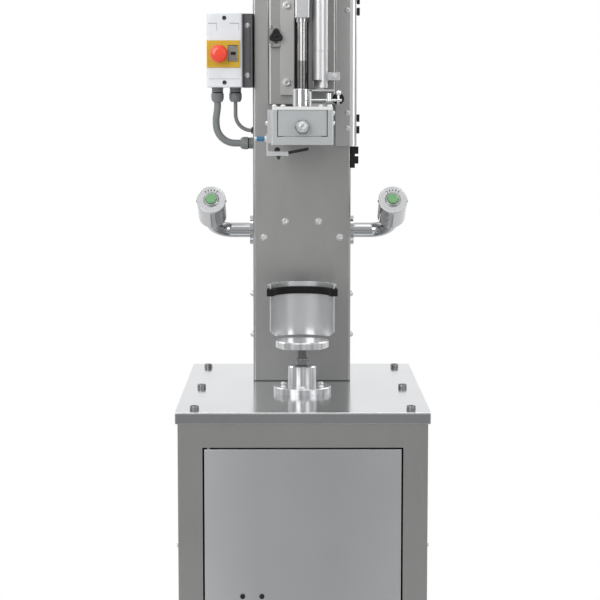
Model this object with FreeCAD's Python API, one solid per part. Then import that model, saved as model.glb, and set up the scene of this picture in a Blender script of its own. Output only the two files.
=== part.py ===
import FreeCAD, Part
import math
import os

# Corking machine: a cabinet on levelling feet carries a folded column. A lift platform
# stands on the cabinet's cover, and a head with jaws, plunger and feed hangs on the column.
# Millimetres. Origin on the floor under the middle of the cabinet. +X right, -Y front, +Z up.

Vector = FreeCAD.Vector
RIGHT = Vector(1, 0, 0)
BACK = Vector(0, 1, 0)
UP = Vector(0, 0, 1)

# Clearances
FIT = 0.05            # radial play of a shaft in its guide
PLAY = 0.3            # air beside faces that slide or swing past each other
SEAT = 0.1            # air round a shank in its hole
NEAR = 0.01           # two places closer than this are the same

# Cabinet
COVER_WIDTH = 396.0
COVER_DEPTH = 550.0
COVER_TOP = 720.0
COVER_LIP = 18.0
COVER_CORNER = 4.0
COVER_AIR = 2.0       # between the cover's lip and the cabinet body
SHEET = 2.0
FOOT_HEIGHT = 60.0
FRAME_RETURN = 30.0   # folded edges of the front frame and the back panel
STILE_WIDTH = 38.25
TOP_RAIL = 53.5
BOTTOM_RAIL = 50.0
DOOR_GAP = 3.0
DOOR_DEPTH = 20.0
REVEAL_DEPTH = 24.0   # folded edge round the door opening
HINGE_INSET = 6.0
HINGE_RADIUS = 3.0
HINGE_HOLD = 8.0
BASE_THICKNESS = 3.0
RAIL_WIDTH = 40.0
RAIL_HEIGHT = 30.0
RAIL_WALL = 3.0
SUPPORT_THICKNESS = 8.0
SUPPORT_FRONT = 120.0  # reach of the support plate in front of the cabinet's middle

# Cover bolts, door buttons and side screws
COVER_BOLT_INSET = 29.0
COVER_BOLT_REAR = 49.0
COVER_BOLT_MID_BACK = 0.538   # share of the cover's depth behind the middle bolts
COVER_BOLT_HEAD = 7.5
COVER_BOLT_HEIGHT = 6.5
COVER_BOLT_SHANK = 4.0
BUTTON_RADIUS = 4.0
BUTTON_PROUD = 2.5
BUTTON_X = (-94.0, -64.0)
BUTTON_DROP = 232.5   # below the door's top edge
SIDE_SCREW_DROP = 212.0
SIDE_SCREW_HEAD = 5.0
SIDE_SCREW_PROUD = 3.0

# Levelling feet
FOOT_SIDE = 34.0      # from the cabinet's side to a foot's axis
FOOT_END = 46.0
PAD_RADIUS = 25.0
PAD_HEIGHT = 14.0
STUD_RADIUS = 6.0
STUD_ABOVE = 14.0
NUT_ACROSS = 19.0
NUT_HEIGHT = 9.0

# Column
COLUMN_WIDTH = 167.0
COLUMN_FRONT = 60.0
COLUMN_DEPTH = 170.0
COLUMN_HEIGHT = 1080.0
COLUMN_SHEET = 3.0
COLUMN_CORNER = 4.0
COLUMN_HEM = 18.0     # folded edges at the open back
COLUMN_FOOT = 8.0

# Lift
LIFT_Y = -60.0
FLANGE_RADIUS = 47.5
FLANGE_THICKNESS = 10.0
FLANGE_PCD = 72.0
FLANGE_SCREWS = 6
BOSS_RADIUS = 23.5
BOSS_HEIGHT = 34.0
LIFT_ROD_RADIUS = 7.0
LIFT_ROD_SHOWN = 18.0
LIFT_TRAVEL = 25.0
LIFT_NUT_GAP = 2.0
LIFT_NUT_ACROSS = 24.0
LIFT_NUT_HEIGHT = 6.0
LIFT_COLLAR_RADIUS = 10.0
LIFT_COLLAR_HEIGHT = 4.0
PLATFORM_RADIUS = 44.0
PLATFORM_THICKNESS = 12.0
ROD_SOCKET = 6.0
BARREL_RADIUS = 31.5
BARREL_WALL = 4.0
BARREL_LENGTH = 150.0
PISTON_HEIGHT = 16.0

# Cradle behind the platform
CRADLE_RADIUS = 53.6
CRADLE_SHEET = 2.0
CRADLE_HEIGHT = 90.0
CRADLE_LIFT = 3.0     # above the platform's top
CRADLE_RIM = 3.0
CRADLE_CUT = 10.0     # height of the sloped lower front corners
CRADLE_SLOPE = 28.0   # reach of the slope towards the column
CRADLE_ARM_UP = 34.0
BAND_THICKNESS = 5.0
BAND_INNER = 46.0
BAND_LIP = 4.0        # of the band in front of the cradle's edges
BAND_HEIGHT = 12.0
BAND_UP = 70.0
CRADLE_ARM = 40.0

# Head
WORK_HEIGHT = 297.0   # of the tallest piece that the platform lifts
HEAD_GAP = 1.0        # left under the jaw box when the platform is up
HEAD_WIDTH = 114.0
HEAD_FRONT = -10.0
HEAD_SHEET = 5.0
HEAD_LENGTH = 560.0
HEAD_ABOVE = 4.5      # between the jaw box's top plate and the head channel
JAW_WIDTH = 100.0
JAW_DEPTH = 100.0
JAW_HEIGHT = 56.5
JAW_WALL = 9.3
JAW_FLOOR = 13.0
JAW_BACK = 8.0
JAW_TOP = 5.0
JAW_PANEL = 4.0
JAW_PANEL_RECESS = 3.0
JAW_PANEL_AIR = 1.2   # seam round the panel
PLATE_STEP = 1.2      # inset of the top plate from the box's sides
CARRIER_WIDTH = 80.0
CARRIER_HEIGHT = 44.0
CARRIER_WALL = 5.0

# Jaws and press
BUSH_RADIUS = 15.5
BUSH_BORE = 13.0
BUSH_HEIGHT = 29.0
PLUNGER_RADIUS = 7.5
PLUNGER_TRAVEL = 100.0
JAW_BORE = 8.5
JAW_OPENING = 12.0    # travel of the sliding jaw
JAW_BLOCK = 60.0
JAW_BLOCK_DEPTH = 28.0
SHANK_RADIUS = 8.0
SHANK_LENGTH = 60.0
COLLAR_RADIUS = 9.2
COLLAR_HEIGHT = 7.0
CROSSHEAD_WIDTH = 23.0
CROSSHEAD_DEPTH = 34.0
CROSSHEAD_HEIGHT = 32.0
CROSSHEAD_ABOVE_BUSH = 114.5
PRESS_ROD_RADIUS = 8.0
PRESS_ROD_SHOWN = 150.0
PRESS_RADIUS = 28.0
PRESS_WALL = 4.0
PRESS_LENGTH = 200.0

# Guide bars, clamp knob and jaw knob
LEFT_BAR_X = -35.7
LEFT_BAR_WIDTH = 22.3
LEFT_BAR_DEPTH = 14.0
CHANNEL_WIDTH = 29.0
CHANNEL_X = -12.0
CHANNEL_SHEET = 2.5
CHANNEL_DEPTH = 16.0
BAR_START = 21.0      # above the jaw box's top plate
LEFT_BAR_START = 19.4
KNOB_X = -43.0
KNOB_UP = 116.0
KNOB_RADIUS = 12.0
KNOB_DEPTH = 14.0
KNOB_STUD = 4.0
TAB_X = -55.0
TAB_WIDTH = 19.0
TAB_HEIGHT = 35.0
TAB_SHEET = 4.0
TAB_SLOT = 5.0
TAB_STAND = 15.0
JAW_KNOB_BASE = 12.5
JAW_KNOB_BASE_DEPTH = 10.0
JAW_KNOB_CAP = 10.0
JAW_KNOB_CAP_DEPTH = 14.0
JAW_KNOB_UP = 29.0

# Chute and feed
CHUTE_X = 28.5
CHUTE_RADIUS = 13.0
CHUTE_BORE = 11.2
CHUTE_GAP = 43.0      # above the jaw box's top plate
CHUTE_LENGTH = 205.0
CHUTE_MOUTH = 16.5
CHUTE_FLARE = 12.0
CHUTE_SLEEVE = 46.0
CHUTE_GROOVE = 1.0
CHUTE_SPOUT = 12.5    # window below the clamp, open towards the front left
SPOUT_EDGE = 3.0      # of the window to the right of the tube's axis
SPOUT_BACK = 6.0
CLAMP_HEIGHT = 12.5
CLAMP_WALL = 4.0
CLAMP_REACH = 33.0
CLAMP_BACK = 8.0      # of the saddle to the left of the tube's axis
CLAMP_PITCH = 150.0
CLAMP_ARM = 9.0
FEED_PLATE_UP = 25.0
FEED_PLATE_WIDTH = 37.0
FEED_PLATE_DEPTH = 30.0
FEED_PLATE_SHEET = 2.5
FEED_PLATE_TONGUE = 20.0
FEED_PLATE_FLANGE = 12.0
FEED_X = 38.5
FEED_WIDTH = 10.0
FEED_DEPTH = 20.0
FEED_HEIGHT = 4.0
FEED_POST = 4.25
FEED_POST_HEIGHT = 16.0
FEED_Y = -20.0        # feed rod's offset in front of the lift axis
FEED_ROD_RADIUS = 2.0
FEED_ROD_START = 14.0
FEED_ROD_LENGTH = 50.0
FEED_END = 5.5        # from the rod's end back to the ball
FEED_BALL = 4.6
FEED_PIN = 2.7
FEED_PIN_DROP = 5.0
FEED_LUG = 4.0
ROLLER_RADIUS = 9.7
ROLLER_DEPTH = 4.0
ROLLER_BACK = 11.0    # from the feed rod back to the disc
AXLE_RADIUS = 1.6
FEED_RAIL_HEIGHT = 5.0
FEED_RAIL_LENGTH = 40.0
FEED_RAIL_WIDTH = 8.0

# Feeler and sensor
FEELER_STRIP_X = -58.2
FEELER_STRIP = 2.5
FEELER_STRIP_UP = 18.0
FEELER_SIDE = 6.5     # plate on the jaw box's side
FEELER_STRIP_DEPTH = 26.0
FEELER_BLOCK_HEIGHT = 7.0
FEELER_BLOCK_END = -22.8
FEELER_DROP = 11.0    # of the block's top below the jaw box
FEELER_REACH = 37.0
FEELER_RISE = 7.5
FEELER_THICKNESS = 5.0
FEELER_WIDTH = 5.0
FEELER_FRONT = -17.0  # in front of the lift axis
FEELER_PIN = 1.5
SENSOR_RADIUS = 4.0
SENSOR_LENGTH = 26.0
SENSOR_UP = 9.3

# Side duct on the column's right corner
DUCT_PROUD = 9.75
DUCT_WING = 26.5
DUCT_SIDE = 46.0
DUCT_START = 404.5    # above the cover
DUCT_LENGTH = 560.0
DUCT_SHEET = 1.5
DUCT_CORNER = 8.0
DUCT_BLOCK_WIDTH = 4.75
DUCT_BLOCK_HEIGHT = 12.5
DUCT_BLOCK_DEPTH = 18.0
DUCT_BLOCK_ROWS = (431.8, 451.5, 631.0, 650.0)
RAIL_BLOCK_ROWS = (380.5, 397.0)
RAIL_BLOCK_START = 367.0
RAIL_BLOCK_LENGTH = 36.5
RAIL_BLOCK_PROUD = 7.0
RAIL_BLOCK_WIDTH = 6.0

# Two-hand controls
ARM_UP = 258.5        # above the cover
ARM_Y = 100.0
ARM_FLANGE = 25.0
ARM_FLANGE_THICKNESS = 6.0
ARM_RADIUS = 12.75
ARM_WALL = 2.0
ARM_BEND = 34.0
ARM_REACH = 152.0
ARM_TILT = 28.0
POD_RADIUS = 24.0
POD_START = 53.0
POD_LENGTH = 70.0
POD_WALL = 2.5
POD_ROUND = 9.0
BEZEL_RADIUS = 11.5
BEZEL_PROUD = 3.0
BEZEL_DEPTH = 14.0
BEZEL_FACE = 1.5
START_RADIUS = 9.0
START_PROUD = 5.0
START_TRAVEL = 3.0

# Enclosure with the stop button
BOX_LEFT = -160.5
BOX_WIDTH = 60.4
BOX_BOTTOM = 503.3    # above the cover
BOX_HEIGHT = 123.5
BOX_FRONT = 30.0
BOX_DEPTH = 75.0
BOX_COVER_DEPTH = 24.0
BOX_WALL = 2.5
BOX_ROUND = 4.0
PLATE_WIDTH = 56.0
PLATE_HEIGHT = 45.4
PLATE_UP = 32.7
PLATE_THICKNESS = 1.5
STOP_X = 22.1         # from the box's left side
STOP_UP = 55.5
STOP_RADIUS = 14.75
STOP_HEAD = 12.0
STOP_STAND = 10.0
STOP_NECK = 8.0
STOP_DEPTH = 14.0
FLAP_WIDTH = 16.0
FLAP_HEIGHT = 26.0
FLAP_X = 36.9         # from the box's left side
FLAP_UP = 43.7
FLAP_SHEET = 2.0
POCKET_DEPTH = 10.0
TOGGLE_WIDTH = 8.0
TOGGLE_LENGTH = 6.0
TOGGLE_HEIGHT = 5.0
BRACKET_SHEET = 3.0
BRACKET_FRONT = 45.0
BRACKET_DEPTH = 50.0

# Glands and cables
GLAND_RADIUS = 10.75
GLAND_LENGTH = 24.3
SIDE_GLAND_LENGTH = 21.5
CONDUIT_RADIUS = 6.0
CABLE_RADIUS = 3.25
CABLE_Y = 75.0
CONDUIT_X = 16.5      # from the box's left side
CABLE_X = 47.2
CONDUIT_BEND = 32.0
CONDUIT_BOW = 3.0
CONDUIT_FALL = 70.0   # from the upper gland's end to the side gland's axis
CABLE_FALL = 48.4
CABLE_BEND = 27.0
GROMMET_RADIUS = 6.0
GROMMET_LENGTH = 3.0

# Small fasteners
DOME_RADIUS = 6.0
DOME_HEIGHT = 4.0
SMALL_DOME = 4.6
GUIDE_DOME = 8.0
SMALL_DOME_HEIGHT = 3.5

COLUMN_BOLTS = ((275.4, 28.8), (248.5, 65.0))
COLUMN_SIDE_BOLTS = (148.0, 77.0)
SIDE_BOLT_HEIGHT = 6.0
COLUMN_SIDE_BOLT_Y = 100.0
GUIDE_BOLTS = (18.6, 144.6)
TOP_SCREW_X = (-45.0, -31.0, 30.0, 44.0)
TOP_SCREW_INSET = 8.0
SIDE_JAW_SCREWS = (34.7, 51.0)
DUCT_SCREWS = (434.7, 460.4, 633.0)
BRACKET_SCREW = 20.0
BOX_SCREW_INSET = 8.0
BOX_BEVEL = 2.0
PLATE_INSET = 0.8
SUPPLY_ENTRY = 10.0
SUPPLY_HEIGHT = 120.0
THROAT_RADIUS = 17.0
JAW_KNOB_STUD = 12.0
BUSH_AIR = 6.0
FEELER_PIVOT = 4.0    # from the block's end to the feeler's pin
FEED_DISC_UP = 2.4    # of the disc's centre above the feed rod
FEED_ROD_UP = 5.0     # of the rod above the carriage's underside
FEED_BALL_UP = 11.8

# Power pack in the cabinet
TANK_WIDTH = 200.0
TANK_DEPTH = 180.0
TANK_HEIGHT = 150.0
TANK_SHEET = 3.0
MOTOR_RADIUS = 60.0
MOTOR_HEIGHT = 170.0
MOTOR_PLATE = 8.0
PACK_Y = 110.0

# Places that follow from the sizes above
body_half_width = COVER_WIDTH / 2 - SHEET - COVER_AIR
body_half_depth = COVER_DEPTH / 2 - SHEET - COVER_AIR
body_top = COVER_TOP - SHEET
bolt_x = COVER_WIDTH / 2 - COVER_BOLT_INSET
inner_half_width = body_half_width - SHEET
inner_half_depth = body_half_depth - SHEET
opening_half = body_half_width - STILE_WIDTH
opening_bottom = FOOT_HEIGHT + BOTTOM_RAIL
opening_top = body_top - TOP_RAIL
door_half = opening_half - DOOR_GAP
door_bottom = opening_bottom + DOOR_GAP
door_top = opening_top - DOOR_GAP
door_front = -body_half_depth
door_back = door_front + DOOR_DEPTH
hinge_x = -door_half + HINGE_INSET
hinge_y = door_front + HINGE_INSET
base_bottom = FOOT_HEIGHT + SHEET
base_top = base_bottom + BASE_THICKNESS
column_half = COLUMN_WIDTH / 2
column_back = COLUMN_FRONT + COLUMN_DEPTH
column_top = COVER_TOP + COLUMN_HEIGHT
support_bottom = body_top - SUPPORT_THICKNESS
boss_top = COVER_TOP + FLANGE_THICKNESS + BOSS_HEIGHT
nut_bottom = boss_top + LIFT_NUT_GAP
nut_top = nut_bottom + LIFT_NUT_HEIGHT
collar_top = nut_top + LIFT_COLLAR_HEIGHT
platform_bottom = collar_top + LIFT_ROD_SHOWN
platform_top = platform_bottom + PLATFORM_THICKNESS
cradle_bottom = platform_top + CRADLE_LIFT
jaw_bottom = platform_top + WORK_HEIGHT + LIFT_TRAVEL + HEAD_GAP
jaw_top = jaw_bottom + JAW_HEIGHT
plate_top = jaw_top + JAW_TOP
jaw_front = LIFT_Y - JAW_DEPTH / 2
jaw_rear = LIFT_Y + JAW_DEPTH / 2
jaw_half = JAW_WIDTH / 2
head_bottom = plate_top + HEAD_ABOVE
head_top = head_bottom + HEAD_LENGTH
head_half = HEAD_WIDTH / 2
bar_bottom = plate_top + BAR_START
bush_top = plate_top + BUSH_HEIGHT
crosshead_bottom = bush_top + CROSSHEAD_ABOVE_BUSH
crosshead_top = crosshead_bottom + CROSSHEAD_HEIGHT
press_bottom = crosshead_top + PRESS_ROD_SHOWN
press_top = press_bottom + PRESS_LENGTH
chute_bottom = plate_top + CHUTE_GAP
box_bottom = COVER_TOP + BOX_BOTTOM
box_top = box_bottom + BOX_HEIGHT
box_right = BOX_LEFT + BOX_WIDTH
arm_z = COVER_TOP + ARM_UP
pod_axis = Vector(0, -math.cos(math.radians(ARM_TILT)), math.sin(math.radians(ARM_TILT)))
pod_face = Vector(ARM_REACH, ARM_Y, arm_z) + pod_axis * (POD_START + POD_LENGTH)
jaw_middle = jaw_bottom + JAW_HEIGHT / 2
knob_centre = jaw_bottom + JAW_KNOB_UP
knob_z = plate_top + KNOB_UP
crosshead_middle = crosshead_bottom + CROSSHEAD_HEIGHT / 2
feed_z = plate_top + FEED_RAIL_HEIGHT + PLAY + FEED_ROD_UP
roller_z = feed_z + FEED_DISC_UP
ball_z = feed_z + FEED_BALL_UP
feed_end = FEED_ROD_START + FEED_ROD_LENGTH - FEED_END
feeler_x = FEELER_BLOCK_END - FEELER_PIVOT
feeler_y = LIFT_Y + FEELER_FRONT
feeler_z = jaw_bottom - FEELER_DROP - FEELER_BLOCK_HEIGHT / 2
sensor_y = LIFT_Y + FEELER_FRONT
sensor_z = jaw_bottom + SENSOR_UP
stop_x = BOX_LEFT + STOP_X
stop_z = box_bottom + STOP_UP
toggle_y = BOX_FRONT + POCKET_DEPTH - TOGGLE_HEIGHT / 2
toggle_z = box_bottom + FLAP_UP + FLAP_HEIGHT / 2
conduit_z = box_bottom - GLAND_LENGTH - CONDUIT_FALL
cable_z = box_bottom - GLAND_LENGTH - CABLE_FALL


def block(x0, x1, y0, y1, z0, z1):
    return Part.makeBox(x1 - x0, y1 - y0, z1 - z0, Vector(x0, y0, z0))


def post(radius, start, end):
    """A round bar from start to end."""
    span = end - start
    return Part.makeCylinder(radius, span.Length, start, span)


def hexagon(across, height, centre, direction):
    """A hexagonal prism, such as a nut, standing on centre."""
    corners = []
    reach = across / math.sqrt(3)
    for corner in range(7):
        angle = math.radians(60 * corner)
        corners.append(Vector(reach * math.cos(angle), reach * math.sin(angle), 0))
    prism = Part.Face(Part.makePolygon(corners)).extrude(Vector(0, 0, height))
    return placed(prism, centre, direction)


def placed(shape, centre, direction):
    """The shape with its own +Z turned to direction and its origin at centre."""
    turn = FreeCAD.Rotation(UP, direction)
    copy = shape.copy()
    copy.Placement = FreeCAD.Placement(centre, turn)
    return copy


def turned(profile, centre, direction):
    """A revolved solid from (radius, height) points, its axis through centre."""
    points = [Vector(radius, 0, height) for radius, height in profile]
    face = Part.Face(Part.makePolygon(points + points[:1]))
    return placed(face.revolve(Vector(0, 0, 0), UP, 360), centre, direction)


def dome(radius, height, seat, direction):
    """A domed screw head that stands on its seat, with a bevelled crown."""
    bevel = 0.4 * height
    profile = [(0, 0), (radius, 0), (radius, height - bevel), (radius - bevel, height), (0, height)]
    return turned(profile, seat, direction)


def upright_edges(shape):
    """The straight edges parallel to +Z."""
    chosen = []
    for edge in shape.Edges:
        along = edge.Vertexes[-1].Point - edge.Vertexes[0].Point
        if along.Length > 0 and abs(along.z) > 0.999 * along.Length:
            chosen.append(edge)
    return chosen


def rounded_block(radius, *limits):
    solid = block(*limits)
    return solid.makeFillet(radius, upright_edges(solid))


def mirrored(shape):
    """The same shape on the other side of the middle plane."""
    return shape.mirror(Vector(0, 0, 0), RIGHT)


def save(name, *shapes):
    """One file for each sub-part; like pieces that share it stay separate solids."""
    whole = shapes[0] if len(shapes) == 1 else Part.makeCompound(list(shapes))
    whole.exportStep("parts/" + name + ".step")


def tray_wall(side):
    """The front frame (side -1) or the back panel (side +1), with folded outer edges."""
    near = side * (body_half_depth - FRAME_RETURN)
    far = side * body_half_depth
    skin = side * inner_half_depth
    y0, y1 = min(near, far), max(near, far)
    tray = block(-body_half_width, body_half_width, y0, y1, FOOT_HEIGHT, body_top)
    i0, i1 = min(near - side * SHEET, skin), max(near - side * SHEET, skin)
    hollow = block(-inner_half_width, inner_half_width, i0, i1, base_bottom, body_top + SHEET)
    return tray.cut(hollow)


def front_frame():
    """Stiles and rails in one sheet, with a folded reveal round the door opening."""
    frame = tray_wall(-1)
    reveal_back = door_front + REVEAL_DEPTH
    opening = block(-opening_half, opening_half, door_front - SHEET, reveal_back + SHEET,
                    opening_bottom, opening_top)
    reveal = block(-opening_half - SHEET, opening_half + SHEET, door_front, reveal_back,
                   opening_bottom - SHEET, opening_top + SHEET)
    frame = frame.fuse(reveal).cut(opening)
    for low, high in ((opening_top - DOOR_GAP - HINGE_HOLD, opening_top),
                      (opening_bottom, opening_bottom + DOOR_GAP + HINGE_HOLD)):
        frame = frame.fuse(post(HINGE_RADIUS, Vector(hinge_x, hinge_y, low),
                                Vector(hinge_x, hinge_y, high)))
    return frame.removeSplitter()


def back_panel():
    """Back wall with a round entry for the supply cable."""
    panel = tray_wall(1)
    entry = post(SUPPLY_ENTRY, Vector(0, inner_half_depth - SHEET, SUPPLY_HEIGHT),
                 Vector(0, body_half_depth + SHEET, SUPPLY_HEIGHT))
    return panel.cut(entry)


def side_panel():
    return block(inner_half_width - SHEET, inner_half_width, -inner_half_depth, inner_half_depth,
                 base_bottom, body_top)


def foot_places():
    reach_x = body_half_width - FOOT_SIDE
    reach_y = body_half_depth - FOOT_END
    return [(x, y) for x in (-reach_x, reach_x) for y in (-reach_y, reach_y)]


def base_plate():
    half = inner_half_width - SHEET
    plate = block(-half, half, -inner_half_depth, inner_half_depth, base_bottom, base_top)
    for x, y in foot_places():
        plate = plate.cut(post(STUD_RADIUS + SEAT, Vector(x, y, 0), Vector(x, y, COVER_TOP / 2)))
    return plate


def levelling_foot(x, y):
    """A pad with a threaded stud, and a nut on each side of the base plate."""
    low = base_bottom - NUT_HEIGHT - SHEET
    profile = [(0, 0), (PAD_RADIUS, 0), (PAD_RADIUS, 0.4 * PAD_HEIGHT),
               (0.5 * PAD_RADIUS, PAD_HEIGHT), (STUD_RADIUS, PAD_HEIGHT),
               (STUD_RADIUS, base_top + STUD_ABOVE), (0, base_top + STUD_ABOVE)]
    foot = turned(profile, Vector(x, y, 0), UP)
    under = hexagon(NUT_ACROSS, NUT_HEIGHT + SHEET, Vector(x, y, low), UP)
    above = hexagon(NUT_ACROSS, NUT_HEIGHT, Vector(x, y, base_top), UP)
    return foot.fuse(under).fuse(above)


def access_door():
    """A folded tray that fills the opening and turns on two pins at its left edge."""
    tray = block(-door_half, door_half, door_front, door_back, door_bottom, door_top)
    hollow = block(-door_half + SHEET, door_half - SHEET, door_front + SHEET, door_back + SHEET,
                   door_bottom + SHEET, door_top - SHEET)
    door = tray.cut(hollow)
    door = door.cut(post(HINGE_RADIUS + FIT, Vector(hinge_x, hinge_y, door_bottom - SHEET),
                         Vector(hinge_x, hinge_y, door_top + SHEET)))
    return door


def door_buttons():
    z = door_top - BUTTON_DROP
    return [dome(BUTTON_RADIUS, BUTTON_PROUD, Vector(x, door_front, z), -BACK) for x in BUTTON_X]


def cover_bolt_places():
    half = COVER_DEPTH / 2
    rows = (COVER_BOLT_INSET - half, half - COVER_BOLT_MID_BACK * COVER_DEPTH, half - COVER_BOLT_REAR)
    return [(x, y) for x in (-bolt_x, bolt_x) for y in rows]


def top_cover():
    """A folded tray over the cabinet, pierced for the lift rod, the column and the bolts."""
    half_x, half_y = COVER_WIDTH / 2, COVER_DEPTH / 2
    low = COVER_TOP - COVER_LIP
    tray = rounded_block(COVER_CORNER, -half_x, half_x, -half_y, half_y, low, COVER_TOP)
    inner = COVER_CORNER - SHEET
    hollow = rounded_block(inner, -half_x + SHEET, half_x - SHEET, -half_y + SHEET,
                           half_y - SHEET, low - SHEET, body_top)
    cover = tray.cut(hollow)
    cover = cover.cut(post(LIFT_ROD_RADIUS + PLAY, Vector(0, LIFT_Y, low),
                           Vector(0, LIFT_Y, COVER_TOP + SHEET)))
    for x, y in cover_bolt_places():
        cover = cover.cut(post(COVER_BOLT_SHANK + SEAT, Vector(x, y, low),
                               Vector(x, y, COVER_TOP + SHEET)))
    return cover


def cover_bolt(x, y):
    """A hexagon-socket cap head, its shank down into the support frame."""
    shank = post(COVER_BOLT_SHANK, Vector(x, y, body_top - RAIL_WALL), Vector(x, y, COVER_TOP))
    top = COVER_TOP + COVER_BOLT_HEIGHT
    depth = COVER_BOLT_HEIGHT / 2
    head = post(COVER_BOLT_HEAD, Vector(x, y, COVER_TOP), Vector(x, y, top))
    socket = hexagon(COVER_BOLT_HEAD, depth, Vector(x, y, top - depth), UP)
    return head.fuse(shank).cut(socket)


def support_frame():
    """Two box rails under the cover and the plate between them that carries column and lift."""
    inside = bolt_x - RAIL_WIDTH / 2
    frame = block(-inside, inside, -SUPPORT_FRONT, column_back, support_bottom, body_top)
    for x in (-bolt_x, bolt_x):
        rail = block(x - RAIL_WIDTH / 2, x + RAIL_WIDTH / 2, -inner_half_depth, inner_half_depth,
                     body_top - RAIL_HEIGHT, body_top)
        bore = block(x - RAIL_WIDTH / 2 + RAIL_WALL, x + RAIL_WIDTH / 2 - RAIL_WALL,
                     -inner_half_depth, inner_half_depth,
                     body_top - RAIL_HEIGHT + RAIL_WALL, body_top - RAIL_WALL)
        frame = frame.fuse(rail.cut(bore))
    for x, y in cover_bolt_places():
        frame = frame.cut(post(COVER_BOLT_SHANK + SEAT, Vector(x, y, body_top - RAIL_HEIGHT / 2),
                               Vector(x, y, COVER_TOP)))
    return frame.cut(post(LIFT_ROD_RADIUS + PLAY, Vector(0, LIFT_Y, support_bottom),
                          Vector(0, LIFT_Y, COVER_TOP))).removeSplitter()


def power_pack():
    """A tank on the base plate with a finned motor standing on its lid."""
    half_x, half_y = TANK_WIDTH / 2, TANK_DEPTH / 2
    tank_top = base_top + TANK_HEIGHT
    tank = rounded_block(MOTOR_PLATE, -half_x, half_x, PACK_Y - half_y, PACK_Y + half_y,
                         base_top, tank_top)
    inside = half_x - TANK_SHEET
    deep = half_y - TANK_SHEET
    tank = tank.cut(block(-inside, inside, PACK_Y - deep, PACK_Y + deep,
                          base_top + TANK_SHEET, tank_top))
    lid = block(-half_x, half_x, PACK_Y - half_y, PACK_Y + half_y, tank_top, tank_top + MOTOR_PLATE)
    lid_top = tank_top + MOTOR_PLATE
    profile = [(0, 0), (MOTOR_RADIUS, 0)]
    fins = 6
    pitch = MOTOR_HEIGHT / (2 * fins)
    for fin in range(fins):
        low = 2 * fin * pitch
        profile += [(MOTOR_RADIUS, low + pitch), (MOTOR_RADIUS - pitch / 2, low + pitch),
                    (MOTOR_RADIUS - pitch / 2, low + 2 * pitch)]
        if fin < fins - 1:
            profile.append((MOTOR_RADIUS, low + 2 * pitch))
    profile.append((0, MOTOR_HEIGHT))
    motor = turned(profile, Vector(0, PACK_Y, lid_top), UP)
    return tank.fuse(lid).fuse(motor).removeSplitter()


def column():
    """A folded column, open at the back, with its foot and top welded in."""
    front = COLUMN_FRONT
    shell = rounded_block(COLUMN_CORNER, -column_half, column_half, front, column_back,
                          COVER_TOP, column_top)
    wall = COLUMN_SHEET
    hollow = block(-column_half + wall, column_half - wall, front + wall, column_back - wall,
                   COVER_TOP + COLUMN_FOOT, column_top - wall)
    rear = block(-column_half + COLUMN_HEM, column_half - COLUMN_HEM, column_back - 2 * wall,
                 column_back + wall, COVER_TOP + COLUMN_FOOT + COLUMN_HEM,
                 column_top - wall - COLUMN_HEM)
    shell = shell.cut(hollow).cut(rear)
    return shell.cut(post(SHANK_RADIUS + PLAY, Vector(0, front - wall, jaw_middle),
                          Vector(0, front + 2 * wall, jaw_middle)))


def column_back_cover():
    """A flat plate screwed over the column's open back."""
    wall = COLUMN_SHEET
    return block(-column_half + wall, column_half - wall, column_back, column_back + SHEET,
                 COVER_TOP + COLUMN_FOOT, column_top - wall)


def lift_flange():
    """A turned flange and boss that guides the lift rod."""
    bore = LIFT_ROD_RADIUS + FIT
    height = FLANGE_THICKNESS + BOSS_HEIGHT
    profile = [(bore, 0), (FLANGE_RADIUS, 0), (FLANGE_RADIUS, FLANGE_THICKNESS - 1),
               (FLANGE_RADIUS - 1, FLANGE_THICKNESS), (BOSS_RADIUS, FLANGE_THICKNESS),
               (BOSS_RADIUS, height - 2), (BOSS_RADIUS - 2, height), (bore, height)]
    return turned(profile, Vector(0, LIFT_Y, COVER_TOP), UP)


def flange_screws():
    seat = COVER_TOP + FLANGE_THICKNESS
    screws = []
    for count in range(FLANGE_SCREWS):
        angle = math.radians(360 * (count + 0.5) / FLANGE_SCREWS)
        x = FLANGE_PCD / 2 * math.cos(angle)
        y = LIFT_Y + FLANGE_PCD / 2 * math.sin(angle)
        screws.append(dome(SMALL_DOME, SMALL_DOME_HEIGHT, Vector(x, y, seat), UP))
    return screws


def lift_cylinder():
    """A barrel bolted under the support plate; its head guides the rod."""
    inner = BARREL_RADIUS - BARREL_WALL
    bore = LIFT_ROD_RADIUS + FIT
    low, high = -BARREL_LENGTH, 0
    profile = [(0, low), (BARREL_RADIUS, low), (BARREL_RADIUS, high), (bore, high),
               (bore, high - 3 * BARREL_WALL), (inner, high - 3 * BARREL_WALL),
               (inner, low + 2 * BARREL_WALL), (0, low + 2 * BARREL_WALL)]
    return turned(profile, Vector(0, LIFT_Y, support_bottom), UP)


def lift_rod():
    """The polished rod with its piston, from the barrel up into the platform."""
    top = platform_bottom + ROD_SOCKET
    foot = support_bottom - BARREL_LENGTH + 2 * BARREL_WALL + PLAY
    radius = BARREL_RADIUS - BARREL_WALL - FIT
    profile = [(0, foot), (radius, foot), (radius, foot + PISTON_HEIGHT),
               (LIFT_ROD_RADIUS, foot + PISTON_HEIGHT), (LIFT_ROD_RADIUS, top), (0, top)]
    return turned(profile, Vector(0, LIFT_Y, 0), UP)


def lift_nut():
    """A nut and collar locked on the rod just above the boss."""
    centre = Vector(0, LIFT_Y, nut_bottom)
    nut = hexagon(LIFT_NUT_ACROSS, LIFT_NUT_HEIGHT, centre, UP)
    nut = nut.fuse(post(LIFT_COLLAR_RADIUS, centre, Vector(0, LIFT_Y, collar_top)))
    rod = post(LIFT_ROD_RADIUS, Vector(0, LIFT_Y, boss_top), Vector(0, LIFT_Y, platform_top))
    return nut.cut(rod)


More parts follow.
